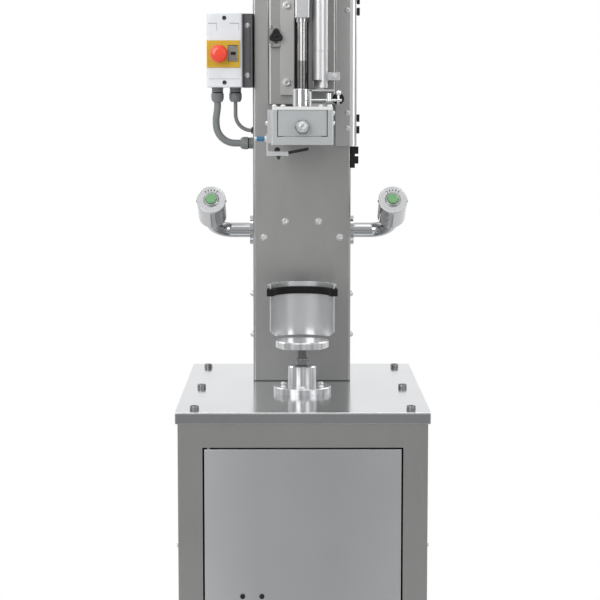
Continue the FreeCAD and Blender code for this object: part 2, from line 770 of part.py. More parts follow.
def lift_platform():
    bevel = PLATFORM_THICKNESS / 8
    thick = PLATFORM_THICKNESS
    profile = [(0, ROD_SOCKET), (LIFT_ROD_RADIUS, ROD_SOCKET), (LIFT_ROD_RADIUS, 0),
               (PLATFORM_RADIUS - bevel, 0), (PLATFORM_RADIUS, bevel),
               (PLATFORM_RADIUS, thick - bevel), (PLATFORM_RADIUS - bevel, thick), (0, thick)]
    return turned(profile, Vector(0, LIFT_Y, platform_bottom), UP)


def half_ring(outer, inner, low, high):
    """The rear half of a ring about the lift axis."""
    ring = post(outer, Vector(0, LIFT_Y, low), Vector(0, LIFT_Y, high))
    ring = ring.cut(post(inner, Vector(0, LIFT_Y, low), Vector(0, LIFT_Y, high)))
    return ring.cut(block(-2 * outer, 2 * outer, LIFT_Y - 2 * outer, LIFT_Y, low, high))


def cradle():
    """A half pipe with sloped lower corners and a rolled rim, on an arm from the column."""
    inner = CRADLE_RADIUS - CRADLE_SHEET
    top = cradle_bottom + CRADLE_HEIGHT
    pipe = half_ring(CRADLE_RADIUS, inner, cradle_bottom, top)
    reach = CRADLE_SLOPE
    corner = Part.Face(Part.makePolygon([
        Vector(0, LIFT_Y, cradle_bottom), Vector(0, LIFT_Y + reach, cradle_bottom),
        Vector(0, LIFT_Y, cradle_bottom + CRADLE_CUT), Vector(0, LIFT_Y, cradle_bottom)]))
    slope = corner.extrude(Vector(4 * CRADLE_RADIUS, 0, 0))
    slope.translate(Vector(-2 * CRADLE_RADIUS, 0, 0))
    rim = half_ring(CRADLE_RADIUS + CRADLE_RIM, inner, top - CRADLE_RIM, top)
    arm_low = cradle_bottom + CRADLE_ARM_UP
    arm = block(-CRADLE_ARM / 2, CRADLE_ARM / 2, LIFT_Y, COLUMN_FRONT,
                arm_low, arm_low + 2 * BAND_HEIGHT)
    arm = arm.cut(post(inner + CRADLE_SHEET / 2, Vector(0, LIFT_Y, 0), Vector(0, LIFT_Y, top)))
    return pipe.cut(slope).fuse(rim).fuse(arm).removeSplitter()


def cradle_band():
    """A moulded half ring that grips the cradle's wall and laps its two front edges."""
    low = cradle_bottom + BAND_UP
    high = low + BAND_HEIGHT
    outer = CRADLE_RADIUS + BAND_THICKNESS
    band = half_ring(outer, BAND_INNER, low, high)
    for x0, x1 in ((-outer, -BAND_INNER), (BAND_INNER, outer)):
        band = band.fuse(block(x0, x1, LIFT_Y - BAND_LIP, LIFT_Y, low, high))
    return band.cut(half_ring(CRADLE_RADIUS, CRADLE_RADIUS - CRADLE_SHEET, low, high)).removeSplitter()


def head_channel():
    """A folded channel on the column's face that carries the press and the guide bars."""
    wall = HEAD_SHEET
    outer = rounded_block(wall, -head_half, head_half, HEAD_FRONT, COLUMN_FRONT + wall,
                          head_bottom, head_top)
    inner = block(-head_half + wall, head_half - wall, HEAD_FRONT + wall, COLUMN_FRONT + 2 * wall,
                  head_bottom - wall, head_top + wall)
    behind = block(-2 * head_half, 2 * head_half, COLUMN_FRONT, COLUMN_FRONT + 2 * wall,
                   head_bottom - wall, head_top + wall)
    return outer.cut(inner).cut(behind).fuse(clamp_tab()).removeSplitter()


def clamp_tab():
    """The slotted lug under the clamp knob, on a short stand from the channel."""
    z0 = knob_z - TAB_HEIGHT / 2
    front = HEAD_FRONT - TAB_STAND
    tab = block(TAB_X, TAB_X + TAB_WIDTH, front, front + TAB_SHEET, z0, z0 + TAB_HEIGHT)
    stand = block(TAB_X + 2, TAB_X + TAB_WIDTH / 3, front, HEAD_FRONT, z0, z0 + TAB_HEIGHT)
    slot = block(TAB_X + TAB_WIDTH / 2, TAB_X + TAB_WIDTH / 2 + TAB_SLOT, front - TAB_SHEET,
                 front + 2 * TAB_SHEET, z0 + TAB_SLOT, z0 + TAB_HEIGHT - TAB_SLOT)
    return tab.fuse(stand).cut(slot)


def clamp_knob():
    """A three-lobed knob with its stud through the lug's slot."""
    front = HEAD_FRONT - TAB_STAND
    seat = Vector(KNOB_X, front - PLAY, knob_z)
    face = Vector(KNOB_X, front - PLAY - KNOB_DEPTH, knob_z)
    knob = post(0.78 * KNOB_RADIUS, seat, face)
    lobe = 0.46 * KNOB_RADIUS
    for count in range(3):
        angle = math.radians(90 + 120 * count)
        shift = Vector(math.cos(angle), 0, math.sin(angle)) * (KNOB_RADIUS - lobe)
        knob = knob.fuse(post(lobe, seat + shift, face + shift))
    return knob.fuse(post(TAB_SLOT / 2 - PLAY, face, Vector(KNOB_X, HEAD_FRONT - PLAY, knob_z)))


def guide_bar_left():
    return block(LEFT_BAR_X, LEFT_BAR_X + LEFT_BAR_WIDTH, HEAD_FRONT - LEFT_BAR_DEPTH, HEAD_FRONT,
                 plate_top + LEFT_BAR_START, head_top)


def guide_channel():
    """A black channel beside the left bar that lines the crosshead's path."""
    x0, x1 = CHANNEL_X, CHANNEL_X + CHANNEL_WIDTH
    y0 = HEAD_FRONT - CHANNEL_DEPTH
    outer = block(x0, x1, y0, HEAD_FRONT, bar_bottom, head_top)
    inner = block(x0 - CHANNEL_SHEET, x1 - 2 * CHANNEL_SHEET, y0 - CHANNEL_SHEET,
                  HEAD_FRONT - CHANNEL_SHEET, bar_bottom - 1, head_top + 1)
    return outer.cut(inner)


def jaw_housing():
    """A thick-walled box, open at top and front, with a square tube back to the column."""
    box = rounded_block(2, -jaw_half, jaw_half, jaw_front, jaw_rear, jaw_bottom, jaw_top)
    wall = JAW_WALL
    room = block(-jaw_half + wall, jaw_half - wall, jaw_front - wall, jaw_rear - JAW_BACK,
                 jaw_bottom + JAW_FLOOR, jaw_top + wall)
    throat = turned([(0, 0), (THROAT_RADIUS, 0), (BUSH_BORE, JAW_FLOOR), (0, JAW_FLOOR)],
                    Vector(0, LIFT_Y, jaw_bottom), UP)
    carrier = block(-CARRIER_WIDTH / 2, CARRIER_WIDTH / 2, jaw_rear, COLUMN_FRONT,
                    jaw_middle - CARRIER_HEIGHT / 2, jaw_middle + CARRIER_HEIGHT / 2)
    inside = block(-CARRIER_WIDTH / 2 + CARRIER_WALL, CARRIER_WIDTH / 2 - CARRIER_WALL, jaw_rear,
                   COLUMN_FRONT, jaw_middle - CARRIER_HEIGHT / 2 + CARRIER_WALL,
                   jaw_middle + CARRIER_HEIGHT / 2 - CARRIER_WALL)
    shank = post(SHANK_RADIUS + FIT, Vector(0, jaw_rear - 2 * JAW_BACK, jaw_middle),
                 Vector(0, COLUMN_FRONT, jaw_middle))
    return box.cut(room).cut(throat).fuse(carrier.cut(inside)).cut(shank)


def jaw_front_panel():
    """The recessed panel, with a seam round it, that closes the jaw box before the fixed jaw."""
    half = jaw_half - JAW_WALL - JAW_PANEL_AIR
    y0 = jaw_front + JAW_PANEL_RECESS
    panel = block(-half, half, y0, y0 + JAW_PANEL, jaw_bottom + JAW_FLOOR + JAW_PANEL_AIR, jaw_top)
    return panel.cut(post(KNOB_STUD + FIT, Vector(0, y0, knob_centre),
                          Vector(0, y0 + JAW_PANEL, knob_centre)))


def jaw_block(y0, y1):
    low, high = jaw_bottom + JAW_FLOOR, jaw_top - PLAY
    return block(-JAW_BLOCK / 2, JAW_BLOCK / 2, y0, y1, low, high)


def fixed_jaw():
    """The front jaw, with its half-round groove on the lift axis."""
    front = jaw_front + JAW_PANEL_RECESS + JAW_PANEL
    jaw = jaw_block(front, LIFT_Y - PLAY / 2)
    jaw = jaw.cut(post(JAW_BORE, Vector(0, LIFT_Y, jaw_bottom), Vector(0, LIFT_Y, plate_top)))
    return jaw.cut(post(KNOB_STUD + FIT, Vector(0, front, knob_centre),
                        Vector(0, front + JAW_KNOB_STUD, knob_centre)))


def sliding_jaw():
    """The rear jaw at its open place, with the shank that drives it from the column."""
    face = LIFT_Y + JAW_OPENING + PLAY / 2
    jaw = jaw_block(face, face + JAW_BLOCK_DEPTH - PLAY)
    jaw.translate(Vector(0, 0, PLAY))
    jaw = jaw.cut(block(-JAW_BLOCK, JAW_BLOCK, LIFT_Y, jaw_rear, jaw_top - PLAY, plate_top))
    axis_y = LIFT_Y + JAW_OPENING
    jaw = jaw.cut(post(JAW_BORE, Vector(0, axis_y, jaw_bottom), Vector(0, axis_y, plate_top)))
    tail = face + JAW_BLOCK_DEPTH - PLAY
    return jaw.fuse(post(SHANK_RADIUS, Vector(0, tail - 1, jaw_middle),
                         Vector(0, tail + SHANK_LENGTH, jaw_middle)))


def jaw_knob():
    """A lobed knob with a bright cap; its stud goes through the panel into the fixed jaw."""
    seat_y = jaw_front + JAW_PANEL_RECESS - PLAY
    mid_y = seat_y - JAW_KNOB_BASE_DEPTH
    seat = Vector(0, seat_y, knob_centre)
    middle = Vector(0, mid_y, knob_centre)
    knob = post(0.85 * JAW_KNOB_BASE, seat, middle)
    lobe = 0.3 * JAW_KNOB_BASE
    for count in range(6):
        angle = math.radians(60 * count)
        shift = Vector(math.cos(angle), 0, math.sin(angle)) * (JAW_KNOB_BASE - lobe)
        knob = knob.fuse(post(lobe, seat + shift, middle + shift))
    cap = dome(JAW_KNOB_CAP, JAW_KNOB_CAP_DEPTH, middle, -BACK)
    stud_end = jaw_front + JAW_PANEL_RECESS + JAW_PANEL + JAW_KNOB_STUD - 1
    stud = post(KNOB_STUD, seat, Vector(0, stud_end, knob_centre))
    return knob.fuse(cap).fuse(stud)


def jaw_top_plate():
    """The bright plate over the jaw box, with the rail that carries the feed slide."""
    half = jaw_half - PLATE_STEP
    plate = rounded_block(PLATE_STEP, -half, half, jaw_front, jaw_rear, jaw_top, plate_top)
    rail_y = LIFT_Y + FEED_Y + FEED_DEPTH / 2
    rail = block(FEED_X + FEED_WIDTH - FEED_RAIL_LENGTH + BUSH_AIR, FEED_X + FEED_WIDTH,
                 rail_y - FEED_RAIL_WIDTH, rail_y, plate_top, plate_top + FEED_RAIL_HEIGHT)
    bush = post(BUSH_RADIUS, Vector(0, LIFT_Y, jaw_top), Vector(0, LIFT_Y, bush_top))
    bore = post(BUSH_BORE, Vector(0, LIFT_Y, jaw_top), Vector(0, LIFT_Y, plate_top))
    return plate.fuse(rail.cut(bush)).cut(bore)


def guide_bush():
    height = BUSH_HEIGHT
    profile = [(BUSH_BORE, 0), (BUSH_RADIUS, 0), (BUSH_RADIUS, height - 1),
               (BUSH_RADIUS - 1, height), (BUSH_BORE, height)]
    return turned(profile, Vector(0, LIFT_Y, plate_top), UP)


def plunger():
    """The pressing rod with its stepped collar under the crosshead."""
    low = plate_top + 1.5
    step = crosshead_bottom - COLLAR_HEIGHT
    profile = [(0, low), (PLUNGER_RADIUS - 1, low), (PLUNGER_RADIUS, low + 1),
               (PLUNGER_RADIUS, step), (COLLAR_RADIUS, step), (COLLAR_RADIUS, crosshead_bottom),
               (PLUNGER_RADIUS, crosshead_bottom), (PLUNGER_RADIUS, crosshead_middle),
               (0, crosshead_middle)]
    return turned(profile, Vector(0, LIFT_Y, 0), UP)


def crosshead():
    """The block that joins plunger and press rod and runs between the guide bars."""
    half = CROSSHEAD_WIDTH / 2
    body = rounded_block(2, -half, half, LIFT_Y - CROSSHEAD_DEPTH / 2,
                         HEAD_FRONT - CHANNEL_SHEET - PLAY, crosshead_bottom, crosshead_top)
    body = body.cut(post(PLUNGER_RADIUS, Vector(0, LIFT_Y, crosshead_bottom),
                         Vector(0, LIFT_Y, crosshead_middle)))
    return body.cut(post(PRESS_ROD_RADIUS, Vector(0, LIFT_Y, crosshead_middle),
                         Vector(0, LIFT_Y, crosshead_top)))


def press_rod():
    """The press cylinder's rod and piston, with the whole stroke still to go."""
    piston_low = press_bottom + 3 * PRESS_WALL + PLUNGER_TRAVEL + PLAY
    bore = PRESS_RADIUS - PRESS_WALL - FIT
    profile = [(0, crosshead_middle), (PRESS_ROD_RADIUS, crosshead_middle),
               (PRESS_ROD_RADIUS, piston_low), (bore, piston_low),
               (bore, piston_low + PISTON_HEIGHT), (0, piston_low + PISTON_HEIGHT)]
    return turned(profile, Vector(0, LIFT_Y, 0), UP)


def press_cylinder():
    """The press barrel with the two plates that hold it on the head channel."""
    bore = PRESS_ROD_RADIUS + FIT
    inner = PRESS_RADIUS - PRESS_WALL
    profile = [(bore, 0), (PRESS_RADIUS, 0), (PRESS_RADIUS, PRESS_LENGTH), (0, PRESS_LENGTH),
               (0, PRESS_LENGTH - 3 * PRESS_WALL), (inner, PRESS_LENGTH - 3 * PRESS_WALL),
               (inner, 3 * PRESS_WALL), (bore, 3 * PRESS_WALL)]
    barrel = turned(profile, Vector(0, LIFT_Y, press_bottom), UP)
    room = post(PRESS_RADIUS, Vector(0, LIFT_Y, press_bottom), Vector(0, LIFT_Y, press_top))
    for low in (press_bottom, press_top - 3 * PRESS_WALL):
        plate = block(-PRESS_RADIUS, PRESS_RADIUS, LIFT_Y, HEAD_FRONT - CHANNEL_DEPTH,
                      low, low + 3 * PRESS_WALL)
        barrel = barrel.fuse(plate.cut(room))
    return barrel


def chute_tube():
    """The polished feed tube: a groove at its sleeve, a flared mouth and a half spout below."""
    groove = CHUTE_SLEEVE
    outer = CHUTE_RADIUS
    length = CHUTE_LENGTH
    low = -CHUTE_SPOUT
    profile = [(CHUTE_BORE, low), (outer, low), (outer, groove), (outer - CHUTE_GROOVE, groove),
               (outer - CHUTE_GROOVE, groove + CHUTE_GROOVE), (outer, groove + CHUTE_GROOVE),
               (outer, length - CHUTE_FLARE), (CHUTE_MOUTH, length),
               (CHUTE_MOUTH - outer + CHUTE_BORE, length), (CHUTE_BORE, length - CHUTE_FLARE)]
    tube = turned(profile, Vector(CHUTE_X, LIFT_Y, chute_bottom), UP)
    window = block(CHUTE_X - 2 * outer, CHUTE_X + SPOUT_EDGE, LIFT_Y - 2 * outer, LIFT_Y + SPOUT_BACK,
                   chute_bottom + low, chute_bottom)
    return tube.cut(window)


def chute_clamp(low):
    """A saddle behind the tube with an ear at its right, on an arm from the head channel."""
    high = low + CLAMP_HEIGHT
    saddle = block(CHUTE_X - CLAMP_BACK, CHUTE_X + CLAMP_REACH, LIFT_Y,
                   LIFT_Y + CHUTE_RADIUS + CLAMP_WALL, low, high)
    arm = block(head_half - CLAMP_ARM, head_half, LIFT_Y, HEAD_FRONT, low, high)
    bore = post(CHUTE_RADIUS, Vector(CHUTE_X, LIFT_Y, low), Vector(CHUTE_X, LIFT_Y, high))
    return saddle.fuse(arm).cut(bore).removeSplitter()


def feed_plate():
    """A thin plate under the tube's mouth, its tongue folded up against the head channel."""
    low = plate_top + FEED_PLATE_UP
    high = low + FEED_PLATE_SHEET
    x0 = BUSH_RADIUS + PLAY
    x1 = x0 + FEED_PLATE_WIDTH
    x2 = x0 + FEED_PLATE_TONGUE
    middle = LIFT_Y + FEED_PLATE_DEPTH
    plate = block(x0, x1, LIFT_Y - CHUTE_RADIUS, middle, low, high)
    tongue = block(x2 - CHUTE_RADIUS, x2, middle, HEAD_FRONT, low, high)
    fold = block(x2 - CHUTE_RADIUS, x2, HEAD_FRONT - FEED_PLATE_SHEET, HEAD_FRONT,
                 low, high + FEED_PLATE_FLANGE)
    hole = post(CHUTE_BORE, Vector(CHUTE_X, LIFT_Y, low), Vector(CHUTE_X, LIFT_Y, high))
    return plate.fuse(tongue).fuse(fold).cut(hole).removeSplitter()


def feed_slide():
    """The feed's carriage on the rail, with its post, rod, end pin, ball and axle."""
    y = LIFT_Y + FEED_Y
    low = feed_z - FEED_ROD_UP
    carriage = block(FEED_X, FEED_X + FEED_WIDTH, y - FEED_DEPTH / 2, y + FEED_DEPTH / 2,
                     low, low + FEED_HEIGHT)
    post_x = FEED_X + FEED_WIDTH / 2
    upright = post(FEED_POST, Vector(post_x, y, low), Vector(post_x, y, low + FEED_POST_HEIGHT))
    rod = post(FEED_ROD_RADIUS, Vector(FEED_ROD_START, y, feed_z),
               Vector(FEED_ROD_START + FEED_ROD_LENGTH, y, feed_z))
    stem = post(FEED_ROD_RADIUS, Vector(feed_end, y, feed_z), Vector(feed_end, y, ball_z))
    ball = Part.makeSphere(FEED_BALL, Vector(feed_end, y, ball_z))
    axle = post(AXLE_RADIUS, Vector(feed_end, y, roller_z),
                Vector(feed_end, y + ROLLER_BACK + ROLLER_DEPTH, roller_z))
    pin_z = feed_z - FEED_PIN_DROP
    pin = post(FEED_PIN, Vector(feed_end, y - FEED_LUG, pin_z), Vector(feed_end, y, pin_z))
    lug = block(feed_end - AXLE_RADIUS, feed_end + AXLE_RADIUS, y - FEED_ROD_RADIUS, y, pin_z, feed_z)
    return carriage.fuse([upright, rod, stem, ball, axle, pin, lug])


def feed_roller():
    """The dark disc behind the feed slide's ball."""
    y = LIFT_Y + FEED_Y + ROLLER_BACK
    near, far = Vector(feed_end, y, roller_z), Vector(feed_end, y + ROLLER_DEPTH, roller_z)
    return post(ROLLER_RADIUS, near, far).cut(post(AXLE_RADIUS, near, far))


def feeler_bracket():
    """A plate on the jaw box's side and a thin strip folded in under it as the feeler's block."""
    y0 = LIFT_Y + FEELER_FRONT - FEELER_STRIP_DEPTH / 2
    y1 = y0 + FEELER_STRIP_DEPTH
    block_top = jaw_bottom - FEELER_DROP
    block_bottom = block_top - FEELER_BLOCK_HEIGHT
    bend = FEELER_STRIP_X + FEELER_STRIP
    strip = block(FEELER_STRIP_X, bend, y0, y1, block_bottom, jaw_bottom + FEELER_STRIP_UP)
    foot = block(FEELER_STRIP_X, FEELER_BLOCK_END, y0, y1, block_bottom, block_top)
    side = block(-jaw_half - FEELER_SIDE, -jaw_half, y0, y1, jaw_bottom + FEELER_STRIP, jaw_top)
    part = strip.fuse(foot).fuse(side)
    slot = block(feeler_x - FEELER_BLOCK_HEIGHT, FEELER_BLOCK_END, feeler_y - PLAY,
                 feeler_y + FEELER_WIDTH + PLAY, block_bottom, block_top)
    part = part.cut(slot)
    pin = post(FEELER_PIN, Vector(feeler_x, y0, feeler_z), Vector(feeler_x, y1, feeler_z))
    sensor = post(SENSOR_RADIUS, Vector(FEELER_STRIP_X - SENSOR_LENGTH, sensor_y, sensor_z),
                  Vector(-jaw_half, sensor_y, sensor_z))
    return part.fuse(pin).cut(sensor).removeSplitter()


def feeler_arm():
    """A thin rising blade on a pin in the feeler's block."""
    half = FEELER_THICKNESS / 2
    reach, rise = FEELER_REACH, FEELER_RISE
    outline = [Vector(feeler_x - half, feeler_y, feeler_z - half),
               Vector(feeler_x + reach, feeler_y, feeler_z + rise - half),
               Vector(feeler_x + reach, feeler_y, feeler_z + rise + half),
               Vector(feeler_x - half, feeler_y, feeler_z + half)]
    blade = Part.Face(Part.makePolygon(outline + outline[:1])).extrude(Vector(0, FEELER_WIDTH, 0))
    eye = post(half + 1, Vector(feeler_x, feeler_y, feeler_z),
               Vector(feeler_x, feeler_y + FEELER_WIDTH, feeler_z))
    hole = post(FEELER_PIN + FIT, Vector(feeler_x, feeler_y, feeler_z),
                Vector(feeler_x, feeler_y + FEELER_WIDTH, feeler_z))
    return blade.fuse(eye).cut(hole)


def proximity_sensor():
    """A threaded sensor barrel through the strip, its face at the jaw box."""
    start = Vector(FEELER_STRIP_X + FEELER_SIDE - SENSOR_LENGTH, sensor_y, sensor_z)
    end = Vector(-jaw_half, sensor_y, sensor_z)
    seat = Vector(FEELER_STRIP_X - SENSOR_RADIUS, sensor_y, sensor_z)
    nut = hexagon(3 * SENSOR_RADIUS, SENSOR_RADIUS, seat, RIGHT)
    return post(SENSOR_RADIUS, start, end).fuse(nut)


def corner_bar(proud, rounding, low, high):
    """A bar round the column's front right corner that stands proud of both faces."""
    x0 = column_half - DUCT_WING
    x1 = column_half + proud
    y0 = COLUMN_FRONT - proud
    shrink = DUCT_PROUD - proud
    bar = block(x0 + shrink, x1, y0, COLUMN_FRONT + DUCT_SIDE - shrink, low, high)
    edge = []
    for side in upright_edges(bar):
        corner = side.Vertexes[0].Point
        if abs(corner.x - x1) < NEAR and abs(corner.y - y0) < NEAR:
            edge.append(side)
    bar = bar.makeFillet(rounding, edge)
    return bar.cut(block(-column_half, column_half, COLUMN_FRONT, column_back, low, high))


def side_duct():
    """A folded duct round the column's front right corner, closed at both ends."""
    z0 = COVER_TOP + DUCT_START
    z1 = z0 + DUCT_LENGTH
    outer = corner_bar(DUCT_PROUD, DUCT_CORNER, z0, z1)
    inner = corner_bar(DUCT_PROUD - DUCT_SHEET, DUCT_CORNER - DUCT_SHEET,
                       z0 + DUCT_SHEET, z1 - DUCT_SHEET)
    return outer.cut(inner)


def duct_blocks():
    """Small moulded blocks on the duct's outer side, and two more on a strip below it."""
    x0 = column_half + DUCT_PROUD
    y0 = COLUMN_FRONT + DUCT_CORNER - DUCT_PROUD
    half = DUCT_BLOCK_HEIGHT / 2
    blocks = []
    for up in DUCT_BLOCK_ROWS:
        z = COVER_TOP + up
        blocks.append(block(x0, x0 + DUCT_BLOCK_WIDTH, y0, y0 + DUCT_BLOCK_DEPTH, z - half, z + half))
    x1 = column_half + RAIL_BLOCK_PROUD
    z0 = COVER_TOP + RAIL_BLOCK_START
    strip = block(column_half, x1, COLUMN_FRONT, COLUMN_FRONT + DUCT_BLOCK_DEPTH,
                  z0, z0 + RAIL_BLOCK_LENGTH)
    for up in RAIL_BLOCK_ROWS:
        z = COVER_TOP + up
        strip = strip.fuse(block(x1, x1 + RAIL_BLOCK_WIDTH, COLUMN_FRONT,
                                 COLUMN_FRONT + DUCT_BLOCK_DEPTH, z - half, z + half))
    return blocks + [strip.removeSplitter()]


def control_arm():
    """The right-hand control: a flange, a bent tube and a round-bottomed pod, welded."""
    flange = post(ARM_FLANGE, Vector(column_half, ARM_Y, arm_z),
                  Vector(column_half + ARM_FLANGE_THICKNESS, ARM_Y, arm_z))
    elbow = Vector(ARM_REACH, ARM_Y, arm_z)
    bend_in = elbow - RIGHT * ARM_BEND
    bend_out = elbow + pod_axis * ARM_BEND
    middle = bend_in + pod_axis * ARM_BEND + (elbow - bend_in - pod_axis * ARM_BEND) * math.sqrt(0.5)
    path = Part.Wire([
        Part.LineSegment(Vector(column_half, ARM_Y, arm_z), bend_in).toShape(),
        Part.Arc(bend_in, middle, bend_out).toShape(),
        Part.LineSegment(bend_out, elbow + pod_axis * (POD_START + POD_WALL)).toShape()])

    def tube(radius):
        circle = Part.Wire(Part.Circle(Vector(column_half, ARM_Y, arm_z), RIGHT, radius).toShape())
        return path.makePipeShell([circle], True, True)

    base = elbow + pod_axis * POD_START
    bore = POD_RADIUS - POD_WALL
    ease = POD_ROUND * (1 - math.sqrt(0.5))
    under = POD_LENGTH - POD_WALL
    profile = [(0, 0), (POD_RADIUS - POD_ROUND, 0), (POD_RADIUS - ease, ease),
               (POD_RADIUS, POD_ROUND), (POD_RADIUS, POD_LENGTH), (BEZEL_RADIUS, POD_LENGTH),
               (BEZEL_RADIUS, under), (bore, under), (bore, POD_ROUND), (0, POD_ROUND)]
    pod = turned(profile, base, pod_axis)
    arm = tube(ARM_RADIUS).cut(tube(ARM_RADIUS - ARM_WALL))
    return flange.fuse(arm).fuse(pod)


def pod_bezel():
    """A black ring in the pod's face, with the guide of the button behind it."""
    inner = START_RADIUS + PLAY
    profile = [(inner, -BEZEL_DEPTH), (BEZEL_RADIUS, -BEZEL_DEPTH), (BEZEL_RADIUS, 0),
               (BEZEL_RADIUS + BEZEL_FACE, 0), (BEZEL_RADIUS + BEZEL_FACE, BEZEL_PROUD - 1),
               (BEZEL_RADIUS, BEZEL_PROUD), (inner, BEZEL_PROUD)]
    return turned(profile, pod_face, pod_axis)


def start_button():
    """A green push button that slides along its pod's axis."""
    top = START_PROUD + BEZEL_PROUD - 2
    profile = [(0, START_TRAVEL - BEZEL_DEPTH), (START_RADIUS, START_TRAVEL - BEZEL_DEPTH),
               (START_RADIUS, top - 1), (START_RADIUS - 1, top), (0, top)]
    return turned(profile, pod_face, pod_axis)


def enclosure_base():
    """The rear half of the moulded box, open to the front."""
    y0 = BOX_FRONT + BOX_COVER_DEPTH
    y1 = BOX_FRONT + BOX_DEPTH
    base = rounded_block(BOX_ROUND, BOX_LEFT, box_right, y0, y1, box_bottom, box_top)
    wall = BOX_WALL
    return base.cut(block(BOX_LEFT + wall, box_right - wall, y0 - wall, y1 - wall,
                          box_bottom + wall, box_top - wall))


def pocket(margin, low, high):
    """The window's rectangle in the box, between two depths."""
    x0 = BOX_LEFT + FLAP_X + margin
    z0 = box_bottom + FLAP_UP + margin
    return block(x0, x0 + FLAP_WIDTH - 2 * margin, low, high, z0, z0 + FLAP_HEIGHT - 2 * margin)


def enclosure_cover():
    """The front half of the box, with a pocket for the switch and a bore for the stop button."""
    wall = BOX_WALL
    y0, y1 = BOX_FRONT, BOX_FRONT + BOX_COVER_DEPTH
    cover = rounded_block(BOX_ROUND, BOX_LEFT, box_right, y0, y1, box_bottom, box_top)
    front_edges = [e for e in cover.Edges if abs(e.CenterOfMass.y - y0) < NEAR]
    cover = cover.makeFillet(BOX_BEVEL, front_edges)
    cover = cover.cut(block(BOX_LEFT + wall, box_right - wall, y0 + wall, y1 + wall,
                            box_bottom + wall, box_top - wall))
    cover = cover.fuse(pocket(-wall, y0 + wall / 2, y0 + POCKET_DEPTH + wall))
    cover = cover.cut(pocket(1.5, y0 - wall, y0 + POCKET_DEPTH))
    hole = post(STOP_NECK + SEAT, Vector(stop_x, y0 - wall, stop_z), Vector(stop_x, y1, stop_z))
    return cover.cut(hole)


def label_plate():
    """The plain yellow plate behind the stop button, cut out round the window."""
    x0 = BOX_LEFT + PLATE_INSET
    z0 = box_bottom + PLATE_UP
    y0 = BOX_FRONT - PLATE_THICKNESS
    plate = block(x0, x0 + PLATE_WIDTH, y0, BOX_FRONT, z0, z0 + PLATE_HEIGHT)
    plate = plate.cut(pocket(-PLAY, y0, BOX_FRONT))
    hole = post(STOP_NECK + SEAT, Vector(stop_x, y0, stop_z), Vector(stop_x, BOX_FRONT, stop_z))
    return plate.cut(hole)


def stop_button():
    """A red mushroom on its neck, at rest above a small collar."""
    face = BOX_FRONT - PLATE_THICKNESS
    crown = STOP_STAND + STOP_HEAD
    neck = STOP_NECK - PLAY
    profile = [(0, -STOP_DEPTH), (neck, -STOP_DEPTH), (neck, STOP_STAND),
               (STOP_RADIUS - 2, STOP_STAND), (STOP_RADIUS, STOP_STAND + 3),
               (STOP_RADIUS, crown - 5), (STOP_RADIUS - 3, crown - 1.5), (STOP_RADIUS - 8, crown),
               (0, crown)]
    return turned(profile, Vector(stop_x, face, stop_z), -BACK)


def window_flap():
    """A smoky flap over the switch, hinged along its top edge."""
    return pocket(PLAY, BOX_FRONT - FLAP_SHEET, BOX_FRONT - SEAT)


def power_toggle():
    """The switch lever on its barrel, down in the pocket."""
    x0 = BOX_LEFT + FLAP_X + (FLAP_WIDTH - TOGGLE_WIDTH) / 2
    x1 = x0 + TOGGLE_WIDTH
    half = TOGGLE_HEIGHT / 2
    barrel = post(half, Vector(x0, toggle_y, toggle_z), Vector(x1, toggle_y, toggle_z))
    lever = block(x0, x1, toggle_y - TOGGLE_LENGTH, toggle_y, toggle_z - half, toggle_z)
    return barrel.fuse(lever).removeSplitter()


def enclosure_bracket():
    """A folded channel between the column's side and the box."""
    y0, y1 = BRACKET_FRONT, BRACKET_FRONT + BRACKET_DEPTH
    channel = block(box_right, -column_half, y0, y1, box_bottom, box_top)
    wall = BRACKET_SHEET
    room = block(box_right - wall, -column_half - wall, y0 + wall, y1 - wall,
                 box_bottom - wall, box_top + wall)
    return channel.cut(room)


def box_gland(x):
    """A gland under the box: threaded collar, hexagon and dome nut, bored for its cable."""
    step = GLAND_LENGTH / 3
    profile = [(0, 0), (GLAND_RADIUS - 1, 0), (GLAND_RADIUS, step), (GLAND_RADIUS, 2 * step),
               (GLAND_RADIUS - 2, GLAND_LENGTH), (0, GLAND_LENGTH)]
    return turned(profile, Vector(x, CABLE_Y, box_bottom), -UP)


def side_gland():
    """The same gland lying on the column's side, one turn deeper in its thread."""
    step = GLAND_LENGTH / 3
    profile = [(0, 0), (GLAND_RADIUS, 0), (GLAND_RADIUS, 2 * step),
               (GLAND_RADIUS - 2, SIDE_GLAND_LENGTH), (0, SIDE_GLAND_LENGTH)]
    return turned(profile, Vector(-column_half, CABLE_Y, conduit_z), -RIGHT)


def grommet():
    return post(GROMMET_RADIUS, Vector(-column_half - GROMMET_LENGTH, CABLE_Y, cable_z),
                Vector(-column_half, CABLE_Y, cable_z))


def cord(points, radii, radius, name):
    """A round cord along straight runs joined by tangent arcs."""
    edges = []
    start = points[0]
    for index in range(1, len(points) - 1):
        corner = points[index]
        towards = (corner - points[index - 1]).normalize()
        away = (points[index + 1] - corner).normalize()
        turn = towards.getAngle(away)
        run = radii[index - 1] * math.tan(turn / 2)
        entry, leave = corner - towards * run, corner + away * run
        inward = (away - towards).normalize()
        middle = corner + inward * (radii[index - 1] / math.cos(turn / 2) - radii[index - 1])
        edges.append(Part.LineSegment(start, entry).toShape())
        edges.append(Part.Arc(entry, middle, leave).toShape())
        start = leave
    edges.append(Part.LineSegment(start, points[-1]).toShape())
    wire = Part.Wire(edges)
    circle = Part.Wire(Part.Circle(points[0], points[1] - points[0], radius).toShape())
    solid = wire.makePipeShell([circle], True, True)
    drawn = math.pi * radius ** 2 * wire.Length
    ratio = round(solid.Volume / drawn, 4)
    print(name, "length", round(wire.Length, 1), "radii", radii, "volume ratio", ratio)
    return solid


